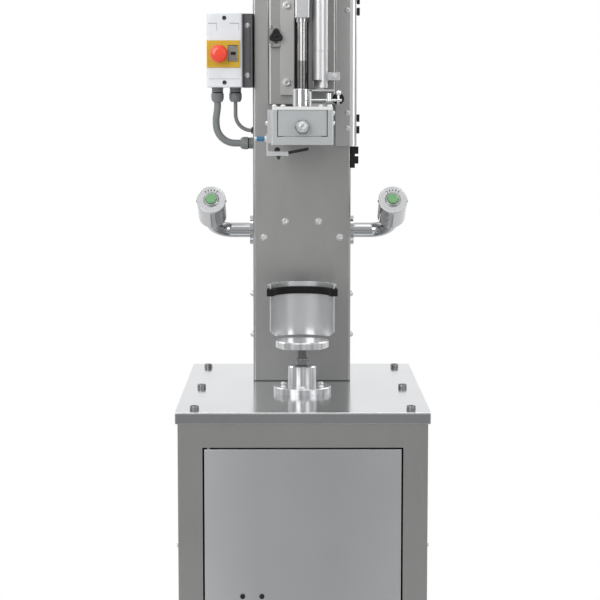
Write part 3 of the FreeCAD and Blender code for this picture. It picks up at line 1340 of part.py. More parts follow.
def cables():
    """The conduit and the thin cable from the box's glands to the column's side."""
    x = BOX_LEFT + CONDUIT_X
    high = box_bottom - GLAND_LENGTH
    leave = Vector(x, CABLE_Y, high - CONDUIT_FALL / 7)
    bow = Vector(x - CONDUIT_BOW, CABLE_Y, high - 3 * CONDUIT_FALL / 7)
    end = Vector(-column_half - SIDE_GLAND_LENGTH, CABLE_Y, conduit_z)
    route = [Vector(x, CABLE_Y, high), leave, bow, Vector(x, CABLE_Y, conduit_z), end]
    gentle = 2 * CONDUIT_BEND
    conduit = cord(route, [gentle, gentle, CONDUIT_BEND], CONDUIT_RADIUS, "conduit")
    x = BOX_LEFT + CABLE_X
    route = [Vector(x, CABLE_Y, high), Vector(x, CABLE_Y, cable_z),
             Vector(-column_half - GROMMET_LENGTH, CABLE_Y, cable_z)]
    cable = cord(route, [CABLE_BEND], CABLE_RADIUS, "cable")
    return [conduit, cable]


def casing_screws():
    """Screws of the side panels, the column and the lift flange."""
    screws = flange_screws()
    y = -body_half_depth + FRAME_RETURN / 2
    z = COVER_TOP - SIDE_SCREW_DROP
    for side in (-1, 1):
        outward = RIGHT * side
        seat = Vector(side * body_half_width, y, z)
        screws.append(dome(SIDE_SCREW_HEAD, SIDE_SCREW_PROUD, seat, outward))
        for up, x in COLUMN_BOLTS:
            seat = Vector(side * x, COLUMN_FRONT, COVER_TOP + up)
            screws.append(dome(DOME_RADIUS, DOME_HEIGHT, seat, -BACK))
        for up in COLUMN_SIDE_BOLTS:
            seat = Vector(side * column_half, COLUMN_SIDE_BOLT_Y, COVER_TOP + up)
            screws.append(dome(DOME_RADIUS, SIDE_BOLT_HEIGHT, seat, outward))
    return screws


def head_screws():
    """Dome screws of the guide bar, the jaw box, the duct, the clamps and the bracket."""
    feeler_side = -jaw_half - FEELER_SIDE
    seats = []
    for x in TOP_SCREW_X:
        for y in (jaw_front + TOP_SCREW_INSET, jaw_rear - TOP_SCREW_INSET):
            seats.append((Vector(x, y, plate_top), UP))
    for up in SIDE_JAW_SCREWS:
        seats.append((Vector(jaw_half, LIFT_Y, jaw_bottom + up), RIGHT))
    seats.append((Vector(feeler_side, LIFT_Y + FEELER_FRONT, jaw_bottom + SIDE_JAW_SCREWS[0]), -RIGHT))
    for up in DUCT_SCREWS:
        x = column_half - DUCT_WING / 4
        seats.append((Vector(x, COLUMN_FRONT - DUCT_PROUD, COVER_TOP + up), -BACK))
    for low in (chute_bottom, chute_bottom + CLAMP_PITCH):
        x = CHUTE_X + CLAMP_REACH - CLAMP_ARM
        seats.append((Vector(x, LIFT_Y, low + CLAMP_HEIGHT / 2), -BACK))
    for up in (BRACKET_SCREW, BOX_HEIGHT - BRACKET_SCREW):
        x = (box_right - column_half) / 2
        seats.append((Vector(x, BRACKET_FRONT, box_bottom + up), -BACK))
    screws = [dome(SMALL_DOME, SMALL_DOME_HEIGHT, seat, outward) for seat, outward in seats]
    bar_x = LEFT_BAR_X + LEFT_BAR_WIDTH / 2
    for up in GUIDE_BOLTS:
        seat = Vector(bar_x, HEAD_FRONT - LEFT_BAR_DEPTH, bar_bottom + up)
        screws.append(dome(GUIDE_DOME, 2 * DOME_HEIGHT, seat, -BACK))
    return screws


def black_bolts():
    """The cover's dark bolts and the two screws of the moulded box."""
    bolts = [cover_bolt(x, y) for x, y in cover_bolt_places()]
    x = BOX_LEFT + BOX_WIDTH / 2
    for z in (box_bottom + BOX_SCREW_INSET, box_top - BOX_SCREW_INSET):
        bolts.append(dome(SMALL_DOME, SMALL_DOME_HEIGHT / 2, Vector(x, BOX_FRONT, z), -BACK))
    return bolts


os.makedirs("parts", exist_ok=True)

save("front_frame", front_frame())
save("back_panel", back_panel())
save("side_panels", side_panel(), mirrored(side_panel()))
save("base_plate", base_plate())
save("levelling_feet", *[levelling_foot(x, y) for x, y in foot_places()])
save("top_cover", top_cover())
save("support_frame", support_frame())
save("access_door", access_door())
save("door_buttons", *door_buttons())
save("power_pack", power_pack())
save("casing_screws", *casing_screws())
save("black_bolts", *black_bolts())
save("column", column())
save("column_back_cover", column_back_cover())
save("lift_flange", lift_flange())
save("lift_cylinder", lift_cylinder())
save("lift_rod", lift_rod())
save("lift_nut", lift_nut())
save("lift_platform", lift_platform())
save("cradle", cradle())
save("cradle_band", cradle_band())
save("head_channel", head_channel())
save("guide_bar_left", guide_bar_left())
save("guide_channel", guide_channel())
save("head_screws", *head_screws())
save("clamp_knob", clamp_knob())
save("jaw_housing", jaw_housing())
save("jaw_front_panel", jaw_front_panel())
save("jaw_top_plate", jaw_top_plate())
save("jaw_knob", jaw_knob())
save("fixed_jaw", fixed_jaw())
save("sliding_jaw", sliding_jaw())
save("guide_bush", guide_bush())
save("plunger", plunger())
save("crosshead", crosshead())
save("press_rod", press_rod())
save("press_cylinder", press_cylinder())
save("chute_tube", chute_tube())
save("chute_clamps", chute_clamp(chute_bottom), chute_clamp(chute_bottom + CLAMP_PITCH))
save("feed_plate", feed_plate())
save("feed_slide", feed_slide())
save("feed_roller", feed_roller())
save("feeler_bracket", feeler_bracket())
save("feeler_arm", feeler_arm())
save("proximity_sensor", proximity_sensor())
save("side_duct", side_duct())
save("duct_blocks", *duct_blocks())
save("control_arms", mirrored(control_arm()), control_arm())
save("pod_bezels", mirrored(pod_bezel()), pod_bezel())
save("start_button_left", mirrored(start_button()))
save("start_button_right", start_button())
save("enclosure_base", enclosure_base())
save("enclosure_cover", enclosure_cover())
save("enclosure_bracket", enclosure_bracket())
save("label_plate", label_plate())
save("stop_button", stop_button())
save("window_flap", window_flap())
save("power_toggle", power_toggle())
save("cable_glands", box_gland(BOX_LEFT + CONDUIT_X), box_gland(BOX_LEFT + CABLE_X),
     side_gland(), grommet())
save("cables", *cables())
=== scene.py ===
import bpy
import bmesh
import math
from mathutils import Matrix, Vector


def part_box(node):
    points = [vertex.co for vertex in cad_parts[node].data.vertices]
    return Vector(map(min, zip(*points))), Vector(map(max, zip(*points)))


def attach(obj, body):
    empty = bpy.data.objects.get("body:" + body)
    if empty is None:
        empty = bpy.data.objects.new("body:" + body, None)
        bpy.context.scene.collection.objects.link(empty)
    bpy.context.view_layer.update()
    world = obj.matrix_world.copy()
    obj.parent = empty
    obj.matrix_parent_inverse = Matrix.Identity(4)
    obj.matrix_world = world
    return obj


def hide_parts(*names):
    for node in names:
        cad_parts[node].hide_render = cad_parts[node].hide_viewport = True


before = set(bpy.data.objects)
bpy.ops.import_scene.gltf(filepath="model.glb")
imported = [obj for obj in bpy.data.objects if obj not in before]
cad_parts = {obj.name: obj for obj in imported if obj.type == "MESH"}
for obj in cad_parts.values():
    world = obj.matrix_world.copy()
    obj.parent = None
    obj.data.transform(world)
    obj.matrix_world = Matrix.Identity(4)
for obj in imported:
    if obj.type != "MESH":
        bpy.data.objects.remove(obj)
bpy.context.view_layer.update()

# Metres. The frame is the CAD's own: floor at z 0, front towards -Y.
MM = 0.001

# Camera: the eye's place, the focal length in pixels of a 600 pixel frame and the
# angles it is turned by, fitted to the corners of the cabinet, column and jaw box.
EYE = Vector((-15, -3040, 1180)) * MM
FOCAL_PX = 1812.4
FRAME_PX = 600.0
SENSOR_MM = 36.0
TILT_DOWN = 5.887
TURN = -0.218
VIEW_DEPTH = 50

# Soft lamps: name, place, the point they face, width and height, power.
LAMPS = (
    ("key", (-1.6, -2.8, 2.2), (0, 0, 1.0), (1.8, 2.2), 50),
    ("fill", (2.1, -2.2, 1.9), (0, 0, 0.95), (0.9, 1.8), 22),
    ("top", (0, -0.5, 3.4), (0, -0.3, 0), (1.8, 1.8), 16),
    ("back_left", (-1.8, 1.4, 2.2), (0, 0.1, 1.0), (0.8, 1.6), 22),
    ("back_right", (1.8, 1.4, 2.2), (0, 0.1, 1.0), (0.8, 1.6), 22),
)

# Surroundings. Each stop has its share of the way, from straight down to straight up
# or from the front to the back, and its tone. The floor fades between two distances.
ROOM_TONES = ((0.42, 0.22), (0.50, 0.34), (0.58, 0.70), (0.85, 0.78))
BACK_SHARE = ((0.35, 0.0), (0.66, 1.0))
AMBIENT = 0.55
FLOOR_REACH = 12.0
FLOOR_TONES = (0.88, 0.92)
FLOOR_GLOW = ((0.2, 0.62), (0.5, 1.0))
FLOOR_FADE = (0.55, 1.35)

# Sockets of the node that mixes two colours.
MIX_SHARE, MIX_FIRST, MIX_SECOND, MIX_COLOUR = 0, 6, 7, 2

# Noise values between which a surface goes from its low to its high value.
NOISE_SPAN = (0.3, 0.7)
PATCH_SPAN = (0.35, 0.65)
PATCH_SCALE = 6.0
GRAIN_RELIEF = 0.4 * MM

# Where bright edges start and end: the cosine between a face and its rounded edge. On plastic the edges
# are rubbed; on metal they are worn and carry a painted highlight.
METAL_WEAR_AND_HIGHLIGHT = (0.90, 0.995)
PLASTIC_RUB = (0.88, 0.99)

# Plastic: its fine pebble, slow colour drift, rounded edge and rubbed edge's paleness.
PEBBLE_SCALE = 900.0
PEBBLE_RELIEF = 0.2 * MM
DRIFT_SCALE = 25.0
COLOUR_DRIFT = (0.94, 1.05)
ROUGH_DRIFT = (0.9, 1.1)
PLASTIC_EDGE = 0.8 * MM
PLASTIC_PALE = 0.035

# Banded metal: the last band's length where a ramp ends, and its roughness.
BAND_MARGIN = 1 * MM
BAND_ROUGHNESS = (0.30, 0.36)

SMOKY_TINT = (0.93, 0.90, 0.85, 1)
SMOKY_ROUGHNESS = (0.05, 0.12)
SMOKY_IOR = 1.15

UPRIGHT = (1, 1, 0.02)    # grain drawn out along Z
ACROSS = (0.02, 1, 1)     # along X
SHEET = 700.0             # grain of brushed sheet
FINE = 900.0              # grain too fine to be seen from afar


def put(name, data):
    """A new object with that data in the scene."""
    item = bpy.data.objects.new(name, data)
    bpy.context.collection.objects.link(item)
    return item


def corners_of(node):
    """The lowest and highest corner of a CAD node."""
    return [Vector(corner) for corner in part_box(node)]


def make_camera():
    data = bpy.data.cameras.new("camera")
    data.sensor_width = SENSOR_MM
    data.lens = FOCAL_PX * SENSOR_MM / FRAME_PX
    data.clip_end = VIEW_DEPTH
    camera = put("camera", data)
    camera.location = EYE
    camera.rotation_euler = (math.radians(90 - TILT_DOWN), 0, math.radians(TURN))
    bpy.context.scene.camera = camera


class Nodes:
    """A small helper that wires one node tree."""

    def __init__(self, tree):
        self.tree = tree
        tree.nodes.clear()

    def add(self, kind, links=None, **values):
        node = self.tree.nodes.new(kind)
        for name, value in values.items():
            if hasattr(node, name):
                setattr(node, name, value)
            else:
                node.inputs[name.replace("_", " ")].default_value = value
        for socket, source in (links or {}).items():
            self.tree.links.new(source, node.inputs[socket])
        return node

    def place(self):
        return self.add("ShaderNodeTexCoord").outputs["Object"]

    def noise(self, place, scale, detail, **values):
        node = self.add("ShaderNodeTexNoise", {"Vector": place}, Scale=scale, Detail=detail, **values)
        return node.outputs["Fac"]

    def ramp(self, source, *stops, interpolation="LINEAR"):
        node = self.add("ShaderNodeValToRGB", {"Fac": source})
        node.color_ramp.interpolation = interpolation
        elements = node.color_ramp.elements
        while len(elements) < len(stops):
            elements.new(0.5)
        for element, (place, colour) in zip(elements, stops):
            element.position = place
            shade = colour if isinstance(colour, tuple) else (colour,) * 3
            element.color = (*shade, 1)
        return node.outputs["Color"]

    def spread(self, noise, low, high, span=NOISE_SPAN):
        """Turns noise into values or colours between low and high."""
        return self.ramp(noise, (span[0], low), (span[1], high))

    def half(self, source):
        """Brings -1..1 to 0..1."""
        return self.math("ADD", self.math("MULTIPLY", source, 0.5), 0.5)

    def math(self, operation, first, second):
        node = self.tree.nodes.new("ShaderNodeMath")
        node.operation = operation
        for socket, value in zip(node.inputs, (first, second)):
            if isinstance(value, (int, float)):
                socket.default_value = value
            else:
                self.tree.links.new(value, socket)
        return node.outputs[0]

    def part(self, place, axis):
        """One coordinate of a place."""
        return self.add("ShaderNodeSeparateXYZ", {"Vector": place}).outputs[axis]

    def between(self, source, first, last):
        """How far a value is on its way from first to last."""
        return self.math("DIVIDE", self.math("SUBTRACT", source, first), last - first)

    def multiply(self, colour, share):
        """A colour dimmed by a share."""
        mix = self.add("ShaderNodeMix", {MIX_FIRST: colour, MIX_SECOND: share},
                       data_type="RGBA", blend_type="MULTIPLY")
        mix.inputs[MIX_SHARE].default_value = 1.0
        return mix.outputs[MIX_COLOUR]

    def blend(self, share, colour, plain):
        """Goes from a colour to a plain one by a share."""
        mix = self.add("ShaderNodeMix", {MIX_SHARE: share, MIX_FIRST: colour}, data_type="RGBA")
        mix.inputs[MIX_SECOND].default_value = (*plain, 1)
        return mix.outputs[MIX_COLOUR]

    def rubbed(self, bevel, span):
        """1 on edges that the bevel rounds, 0 on flat faces: rubbed edges on plastic, worn edges with a
        painted highlight on metal.
        """
        geometry = self.add("ShaderNodeNewGeometry")
        turn = self.add("ShaderNodeVectorMath", {0: bevel.outputs[0], 1: geometry.outputs["Normal"]},
                        operation="DOT_PRODUCT")
        return self.ramp(turn.outputs["Value"], (span[0], 1.0), (span[1], 0.0))

    def finish(self, shader):
        self.add("ShaderNodeOutputMaterial", {"Surface": shader.outputs[0]})


materials = {}


def new_material(name):
    material = bpy.data.materials.new(name)
    material.use_nodes = True
    materials[name] = material
    return Nodes(material.node_tree)


def shade_along(nodes, place, colour, axis, start, *stops):
    """Dims a colour along an axis. Each stop has its millimetres from start and the share left."""
    first, last = (start + stops[index][0] * MM for index in (0, -1))
    way = nodes.between(nodes.part(place, axis), first, last)
    span = last - first
    left = nodes.ramp(way, *[((start + offset * MM - first) / span, share) for offset, share in stops])
    return nodes.multiply(colour, left)


def shade_around(nodes, place, colour, centre_y, *waves):
    """Dims a colour in upright bands about a vertical axis, painted reflections on a turned piece. Each
    wave has its count and depth.
    """
    forward = nodes.math("SUBTRACT", centre_y, nodes.part(place, "Y"))
    angle = nodes.math("ARCTAN2", nodes.part(place, "X"), forward)
    share = 1 - sum(depth for count, depth in waves)
    for count, depth in waves:
        wave = nodes.math("SINE", nodes.math("MULTIPLY", angle, count), 0)
        share = nodes.math("ADD", nodes.math("MULTIPLY", wave, depth), share)
    return nodes.multiply(colour, share)


def metal(name, colour, rough, grain=(1, 1, 1), grain_scale=400.0, grain_depth=0.05,
          patch=0.03, wear_and_highlight=0.12, edge=0.6 * MM, metallic=1.0, drift=0.15, along=None, around=None):
    """Bare metal: directional grain in roughness and bump, soft patches, bright edges that are partly worn
    metal and partly a painted highlight.

    along and around hold what shade_along and shade_around need, where painted shade and painted
    highlights lie in bands on the metal.
    """
    nodes = new_material(name)
    place = nodes.place()
    mapping = nodes.add("ShaderNodeMapping", {"Vector": place})
    mapping.inputs["Scale"].default_value = grain
    fine = nodes.noise(mapping.outputs[0], grain_scale, 4.0, Roughness=0.6)
    broad = nodes.noise(place, PATCH_SCALE, 3.0)
    bevel = nodes.add("ShaderNodeBevel", samples=4, Radius=edge)
    low = tuple(c * (1 - patch) for c in colour)
    high = tuple(c * (1 + patch) for c in colour)
    # Edges made brighter: partly worn metal, partly a painted highlight.
    bright = tuple(min(1, c * (1 + wear_and_highlight) + wear_and_highlight / 2) for c in colour)
    base = nodes.spread(broad, low, high, PATCH_SPAN)
    surface = nodes.blend(nodes.rubbed(bevel, METAL_WEAR_AND_HIGHLIGHT), base, bright)
    if along:
        surface = shade_along(nodes, place, surface, *along)
    if around:
        surface = shade_around(nodes, place, surface, *around)
    roughness = nodes.spread(fine, rough * (1 - drift), rough * (1 + drift))
    bump = nodes.add("ShaderNodeBump", {"Height": fine, "Normal": bevel.outputs[0]},
                     Strength=grain_depth, Distance=GRAIN_RELIEF)
    nodes.finish(nodes.add("ShaderNodeBsdfPrincipled", {
        "Base Color": surface, "Roughness": roughness, "Normal": bump.outputs[0]}, Metallic=metallic))


def plastic(name, colour, rough, pebble=0.08, coat=0.0, specular=0.5):
    """Moulded plastic or rubber: fine pebble, slight colour drift, paler rubbed edges."""
    nodes = new_material(name)
    place = nodes.place()
    fine = nodes.noise(place, PEBBLE_SCALE, 3.0)
    broad = nodes.noise(place, DRIFT_SCALE, 3.0)
    bevel = nodes.add("ShaderNodeBevel", samples=4, Radius=PLASTIC_EDGE)
    low, high = (tuple(c * share for c in colour) for share in COLOUR_DRIFT)
    base = nodes.spread(broad, low, high)
    pale = tuple(c + PLASTIC_PALE * (1 - c) for c in colour)
    surface = nodes.blend(nodes.rubbed(bevel, PLASTIC_RUB), base, pale)
    roughness = nodes.spread(fine, *(rough * share for share in ROUGH_DRIFT))
    bump = nodes.add("ShaderNodeBump", {"Height": fine, "Normal": bevel.outputs[0]},
                     Strength=pebble, Distance=PEBBLE_RELIEF)
    shader = nodes.add("ShaderNodeBsdfPrincipled", {
        "Base Color": surface, "Roughness": roughness, "Normal": bump.outputs[0]})
    shader.inputs["Coat Weight"].default_value = coat
    shader.inputs["Specular IOR Level"].default_value = specular
    nodes.finish(shader)


def smoky():
    """Thin tinted clear plastic."""
    nodes = new_material("smoky")
    fine = nodes.noise(nodes.place(), 300.0, 2.0)
    shader = nodes.add("ShaderNodeBsdfPrincipled", {"Roughness": nodes.spread(fine, *SMOKY_ROUGHNESS)})
    shader.inputs["Base Color"].default_value = SMOKY_TINT
    shader.inputs["Transmission Weight"].default_value = 1.0
    shader.inputs["IOR"].default_value = SMOKY_IOR
    nodes.finish(shader)


def banded_metal(name, metallic, axis, start, *bands):
    """Smooth grey metal in bands along an axis. Each band has its millimetres from start and its shade."""
    nodes = new_material(name)
    place = nodes.place()
    first = start + bands[0][0] * MM
    last = start + bands[-1][0] * MM + BAND_MARGIN
    way = nodes.between(nodes.part(place, axis), first, last)
    stops = [((start + offset * MM - first) / (last - first), shade) for offset, shade in bands]
    colour = nodes.ramp(way, *stops, interpolation="CONSTANT")
    roughness = nodes.spread(nodes.noise(place, 400.0, 3.0), *BAND_ROUGHNESS)
    nodes.finish(nodes.add("ShaderNodeBsdfPrincipled", {"Base Color": colour, "Roughness": roughness},
                           Metallic=metallic))


def make_materials():
    column_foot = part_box("column")[0][2]
    cover_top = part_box("top_cover")[1][2]
    duct_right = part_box("side_duct")[1][0]
    tube_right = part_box("chute_tube")[1][0]
    plunger_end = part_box("plunger")[0][2]
    plate_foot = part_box("jaw_top_plate")[0][2]
    channel_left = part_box("guide_channel")[0][0]
    lift_y = sum(corner[1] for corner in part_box("lift_platform")) / 2
    middle = 0.0

    # Painted shade: a dark line at the column's foot, where it meets the cover.
    metal("column", (0.36, 0.36, 0.355), 0.36, UPRIGHT, SHEET, 0.03,
          along=("Z", column_foot, (0, 0.35), (1.3, 0.35), (2, 1.0)))
    # Painted highlight: a bright strip down the duct's rounded corner, with the grey wall beside it dimmed
    # as painted shade.
    metal("duct", (0.76, 0.76, 0.755), 0.36, UPRIGHT, SHEET, 0.03,
          along=("X", duct_right, (-36.25, 0.60), (-12.75, 0.60), (-11.25, 1.0), (-4.25, 1.0),
                 (-3.25, 0.5), (-0.25, 0.6)))
    # Painted shade on the folds down both sides of the head, dimming their bright reflection; no painted
    # highlight on its edges.
    metal("head", (0.35, 0.35, 0.345), 0.36, UPRIGHT, SHEET, 0.02, wear_and_highlight=0.0, edge=0.3 * MM,
          along=("X", middle, (-57, 0.9), (-56.9, 0.55), (-54.5, 0.55), (-54, 1.0),
                 (54, 1.0), (54.5, 0.55), (56.9, 0.55), (57, 0.9)))
    metal("cabinet", (0.33, 0.33, 0.325), 0.36, UPRIGHT, SHEET, 0.08)
    # Painted light: the door lighter at its left and dimmer to its right, with a painted highlight along
    # its rounded edges.
    metal("door", (0.56, 0.573, 0.586), 0.32, ACROSS, SHEET, 0.01, wear_and_highlight=0.5, edge=1 * MM, drift=0.03,
          along=("X", middle, (-150, 1.0), (-70, 0.84), (50, 0.79), (150, 0.88)))
    # Painted shade on the cover's front edge, up to its fold, and a painted highlight along the fold.
    metal("cover", (0.60, 0.615, 0.63), 0.15, ACROSS, SHEET, 0.03, wear_and_highlight=0.5, edge=2.2 * MM,
          along=("Z", cover_top, (-2.6, 0.50), (-2.5, 1.0)))
    metal("polished", (0.72, 0.73, 0.74), 0.10, grain_depth=0.01)
    metal("jaw", (0.50, 0.52, 0.53), 0.32, grain_scale=FINE, grain_depth=0.004, patch=0.02,
          metallic=0.6, drift=0.03)
    metal("satin", (0.66, 0.67, 0.68), 0.28, grain_scale=FINE, grain_depth=0.001,
          metallic=0.8, drift=0.03)
    metal("bright_bar", (0.53, 0.525, 0.51), 0.28, grain_scale=FINE, grain_depth=0.001,
          metallic=0.7, drift=0.02)
    metal("screw", (0.62, 0.62, 0.62), 0.40, grain_depth=0.003, edge=0.3 * MM, metallic=0.7, drift=0.05)
    metal("machined", (0.62, 0.63, 0.64), 0.20, grain_depth=0.003, metallic=0.7, drift=0.03)
    # Painted highlight: a bright stripe down the tube, with painted shade to each side.
    metal("tube", (0.64, 0.64, 0.65), 0.42, grain_scale=FINE, grain_depth=0.002, drift=0.03,
          along=("X", tube_right, (-33, 0.40), (-23, 0.50), (-16, 1.0), (-9, 0.80), (0, 0.60)))
    metal("dark", (0.05, 0.05, 0.053), 0.38, grain_depth=0.04, wear_and_highlight=0.1)
    metal("bolt", (0.20, 0.20, 0.205), 0.42, grain_depth=0.02, wear_and_highlight=0.1)
    metal("arm", (0.44, 0.45, 0.46), 0.09, grain_depth=0.005)
    # Painted reflection: the plunger darker below its step and brighter above.
    metal("plunger", (0.38, 0.38, 0.38), 0.26, grain_depth=0.001, drift=0.03,
          along=("Z", plunger_end, (72, 0.42), (74, 1.0)))
    # Painted reflections: upright bands about the lift's axis on the turned pieces.
    metal("turned", (0.66, 0.67, 0.68), 0.22, grain_depth=0.01, metallic=0.7, drift=0.05,
          around=(lift_y, (13, 0.12), (29, 0.10)))
    metal("knob_base", (0.26, 0.26, 0.265), 0.30, grain_depth=0.01)
    metal("grey_dark", (0.12, 0.12, 0.125), 0.42, UPRIGHT, 300.0, 0.05)
    metal("bezel", (0.34, 0.34, 0.34), 0.30, grain_depth=0.002, drift=0.03)
    metal("pod_face", (0.50, 0.51, 0.52), 0.30, grain_depth=0.002, metallic=0.6, drift=0.03)
    # Painted highlight: the plate bright in a band 4.8 mm up from its foot, darker above.
    banded_metal("jaw_plate", 0.15, "Z", plate_foot, (-0.5, 0.72), (4.8, 0.36))
    banded_metal("channel", 0.8, "X", channel_left, (-1, 0.03), (22.6, 0.36))
    plastic("black", (0.009, 0.009, 0.0095), 0.45, specular=0.25)
    plastic("rubber", (0.007, 0.007, 0.007), 0.75, 0.2, specular=0.2)
    plastic("white", (0.72, 0.74, 0.77), 0.32, 0.05, coat=0.2)
    plastic("line_grey", (0.30, 0.31, 0.33), 0.5)
    plastic("window_frame", (0.05, 0.048, 0.045), 0.5)
    plastic("yellow", (0.58, 0.36, 0.012), 0.45)
    plastic("red", (0.76, 0.05, 0.017), 0.30, 0.02, coat=0.4)
    plastic("green", (0.14, 0.345, 0.147), 0.30, 0.02, coat=0.4)
    plastic("blue", (0.03, 0.15, 0.28), 0.4)
    plastic("grey", (0.19, 0.20, 0.205), 0.5, 0.15)
    plastic("housing", (0.22, 0.24, 0.27), 0.5, 0.2)
    smoky()


# The CAD nodes that keep their own shape, by material.
node_material = {
    "column": ("column", "column_back_cover"),
    "duct": ("side_duct",),
    "head": ("head_channel",),
    "cabinet": ("front_frame", "back_panel", "side_panels", "base_plate"),
    "door": ("access_door",),
    "cover": ("top_cover",),
    "polished": ("guide_bush", "press_rod", "feed_slide"),
    "plunger": ("plunger",),
    "arm": ("control_arms",),
    "machined": ("cradle",),
    "turned": ("lift_flange", "lift_platform"),
    "bolt": ("lift_nut",),
    "tube": ("chute_tube",),
    "jaw": ("jaw_housing", "jaw_front_panel"),
    "jaw_plate": ("jaw_top_plate",),
    "bright_bar": ("guide_bar_left",),
    "satin": ("crosshead", "feed_plate", "feeler_bracket", "fixed_jaw", "sliding_jaw",
              "press_cylinder", "lift_cylinder", "chute_clamps", "levelling_feet"),
    "dark": ("feeler_arm",),
    "grey_dark": ("enclosure_bracket", "lift_rod"),
    "bezel": ("pod_bezels",),
    "channel": ("guide_channel",),
    "black": ("duct_blocks", "door_buttons", "feed_roller", "power_toggle"),
    "rubber": ("cradle_band",),
    "white": ("enclosure_base", "enclosure_cover"),
    "yellow": ("label_plate",),
    "red": ("stop_button",),
    "green": ("start_button_left", "start_button_right"),
    "grey": ("cables",),
    "housing": ("support_frame", "power_pack"),
    "smoky": ("window_flap",),
}


def dress_nodes():
    for name, nodes in node_material.items():
        for node in nodes:
            mesh = bpy.data.objects[node].data
            mesh.materials.clear()
            mesh.materials.append(materials[name])


class Shape:
    """Gathers the faces of one piece; every part of it keeps its own material slot."""

    def __init__(self):
        self.points = []
        self.faces = []
        self.slots = []

    def ring_faces(self, rings, slot, closed):
        base = len(self.points)
        sides = len(rings[0])
        for ring in rings:
            self.points.extend(ring)
        for level in range(len(rings) - 1):
            low, high = base + level * sides, base + (level + 1) * sides
            for step in range(sides):
                after = (step + 1) % sides
                self.faces.append((low + step, low + after, high + after, high + step))
                self.slots.append(slot)
        if closed:
            top = base + (len(rings) - 1) * sides
            self.faces.append(tuple(range(base + sides - 1, base - 1, -1)))
            self.faces.append(tuple(range(top, top + sides)))
            self.slots.extend((slot, slot))

    def lathe(self, profile, place, slot=0, sides=36, closed=True):
        """Turns (radius, height) steps about the place's +Z. A step that isn't round adds its outline."""
        rings = []
        for radius, height, *outline in profile:
            reach = outline[0] if outline else round_outline
            ring = []
            for step in range(sides):
                angle = 2 * math.pi * step / sides
                out = radius * reach(angle)
                ring.append(place @ Vector((out * math.cos(angle), out * math.sin(angle), height)))
            rings.append(ring)
        self.ring_faces(rings, slot, closed)

    def turned(self, profile, seat, outward, radius, height, slot=0, sides=36):
        """A small turned form on its seat. Its profile is in shares of the radius and the height."""
        steps = [(share * radius, rise * height, *outline) for share, rise, *outline in profile]
        self.lathe(steps, facing(seat, outward), slot, sides)

    def bar(self, low, high, place=None, slot=0):
        """A plain block between two corners."""
        place = place or Matrix.Identity(4)
        outline = ((low[0], low[1]), (high[0], low[1]), (high[0], high[1]), (low[0], high[1]))
        rings = [[place @ Vector((x, y, z)) for x, y in outline] for z in (low[2], high[2])]
        self.ring_faces(rings, slot, True)

    def build(self, name, body, record_slot, *material_names, stands_for=()):
        mesh = bpy.data.meshes.new(name)
        mesh.from_pydata([tuple(point) for point in self.points], [], self.faces)
        for material_name in material_names:
            mesh.materials.append(materials[material_name])
        for face, slot in zip(mesh.polygons, self.slots):
            face.material_index = slot
        mark_creases(mesh)
        piece = put(name, mesh)
        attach(piece, body)
        if stands_for:
            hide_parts(*stands_for)


CREASE = math.radians(32)
WELD = 0.001 * MM


def mark_creases(mesh):
    """Smooth faces with sharp creases where they meet at more than the crease angle."""
    work = bmesh.new()
    work.from_mesh(mesh)
    bmesh.ops.recalc_face_normals(work, faces=work.faces)
    for face in work.faces:
        face.smooth = True
    for edge in work.edges:
        if len(edge.link_faces) == 2 and edge.calc_face_angle() > CREASE:
            edge.smooth = False
    work.to_mesh(mesh)
    work.free()


def facing(centre, direction):
    """A place at centre whose +Z points along direction."""
    turn = Vector(direction).to_track_quat("Z", "Y")
    return Matrix.Translation(centre) @ turn.to_matrix().to_4x4()


def islands(node):
    """The lowest and highest corners of each separate solid in a CAD node."""
    work = bmesh.new()
    work.from_mesh(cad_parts[node].data)
    bmesh.ops.remove_doubles(work, verts=work.verts, dist=WELD)
    left = set(work.verts)
    boxes = []
    while left:
        front = [left.pop()]
        group = list(front)
        while front:
            vert = front.pop()
            for edge in vert.link_edges:
                other = edge.other_vert(vert)
                if other in left:
                    left.remove(other)
                    front.append(other)
                    group.append(other)
        low = Vector([min(vert.co[axis] for vert in group) for axis in range(3)])
        high = Vector([max(vert.co[axis] for vert in group) for axis in range(3)])
        boxes.append((low, high))
    work.free()
    return sorted(boxes, key=lambda box: tuple(round(value, 5) for value in box[0]))


def screw_seats(node):
    """Seat, outward direction, radius and height of each round head in a CAD node.

    A head lies flat across its shortest side and faces outward, to the front or up.
    """
    seats = []
    for low, high in islands(node):
        size = high - low
        axis = min(range(3), key=lambda index: size[index])
        centre = (low + high) / 2
        outward = Vector((0, 0, 0))
        outward[axis] = (math.copysign(1, centre.x), -1, 1)[axis]
        seat = centre - outward * size[axis] / 2
        seats.append((seat, outward, max(size) / 2, size[axis]))
    return seats


def in_mm(profile):
    """A profile that is written in millimetres, in metres."""
    return [(radius * MM, height * MM, *outline) for radius, height, *outline in profile]


def steps_from(start, radius, profile):
    """A profile with shares of a radius and millimetres from a start, in metres."""
    return [(share * radius, start + rise * MM, *outline) for share, rise, *outline in profile]


# Outlines of turned forms. The ribs start an eighth of a rib before the first corner.
RIB_COUNT = 24
RIB_OFFSET = 0.125
RIB_DEPTH = 0.02
LOBE_COUNT = 3
LOBE_START = math.radians(90)
LOBE_DEPTH = 0.15


def round_outline(angle):
    return 1.0


def regular(corners):
    """How far a regular outline with that many corners reaches at an angle."""
    sector = 2 * math.pi / corners
    return lambda angle: math.cos(sector / 2) / math.cos(angle % sector - sector / 2)


def ribbed(angle):
    """Ribs with grooves of the same width between them."""
    way = angle * RIB_COUNT / (2 * math.pi) + RIB_OFFSET
    return 1 - RIB_DEPTH if way % 1 < 0.5 else 1.0


def lobed(angle):
    """Lobes, the first one straight up."""
    return 1 - LOBE_DEPTH + LOBE_DEPTH * math.cos(LOBE_COUNT * (angle - LOBE_START))


HEXAGON = regular(6)
SQUARE = regular(4)

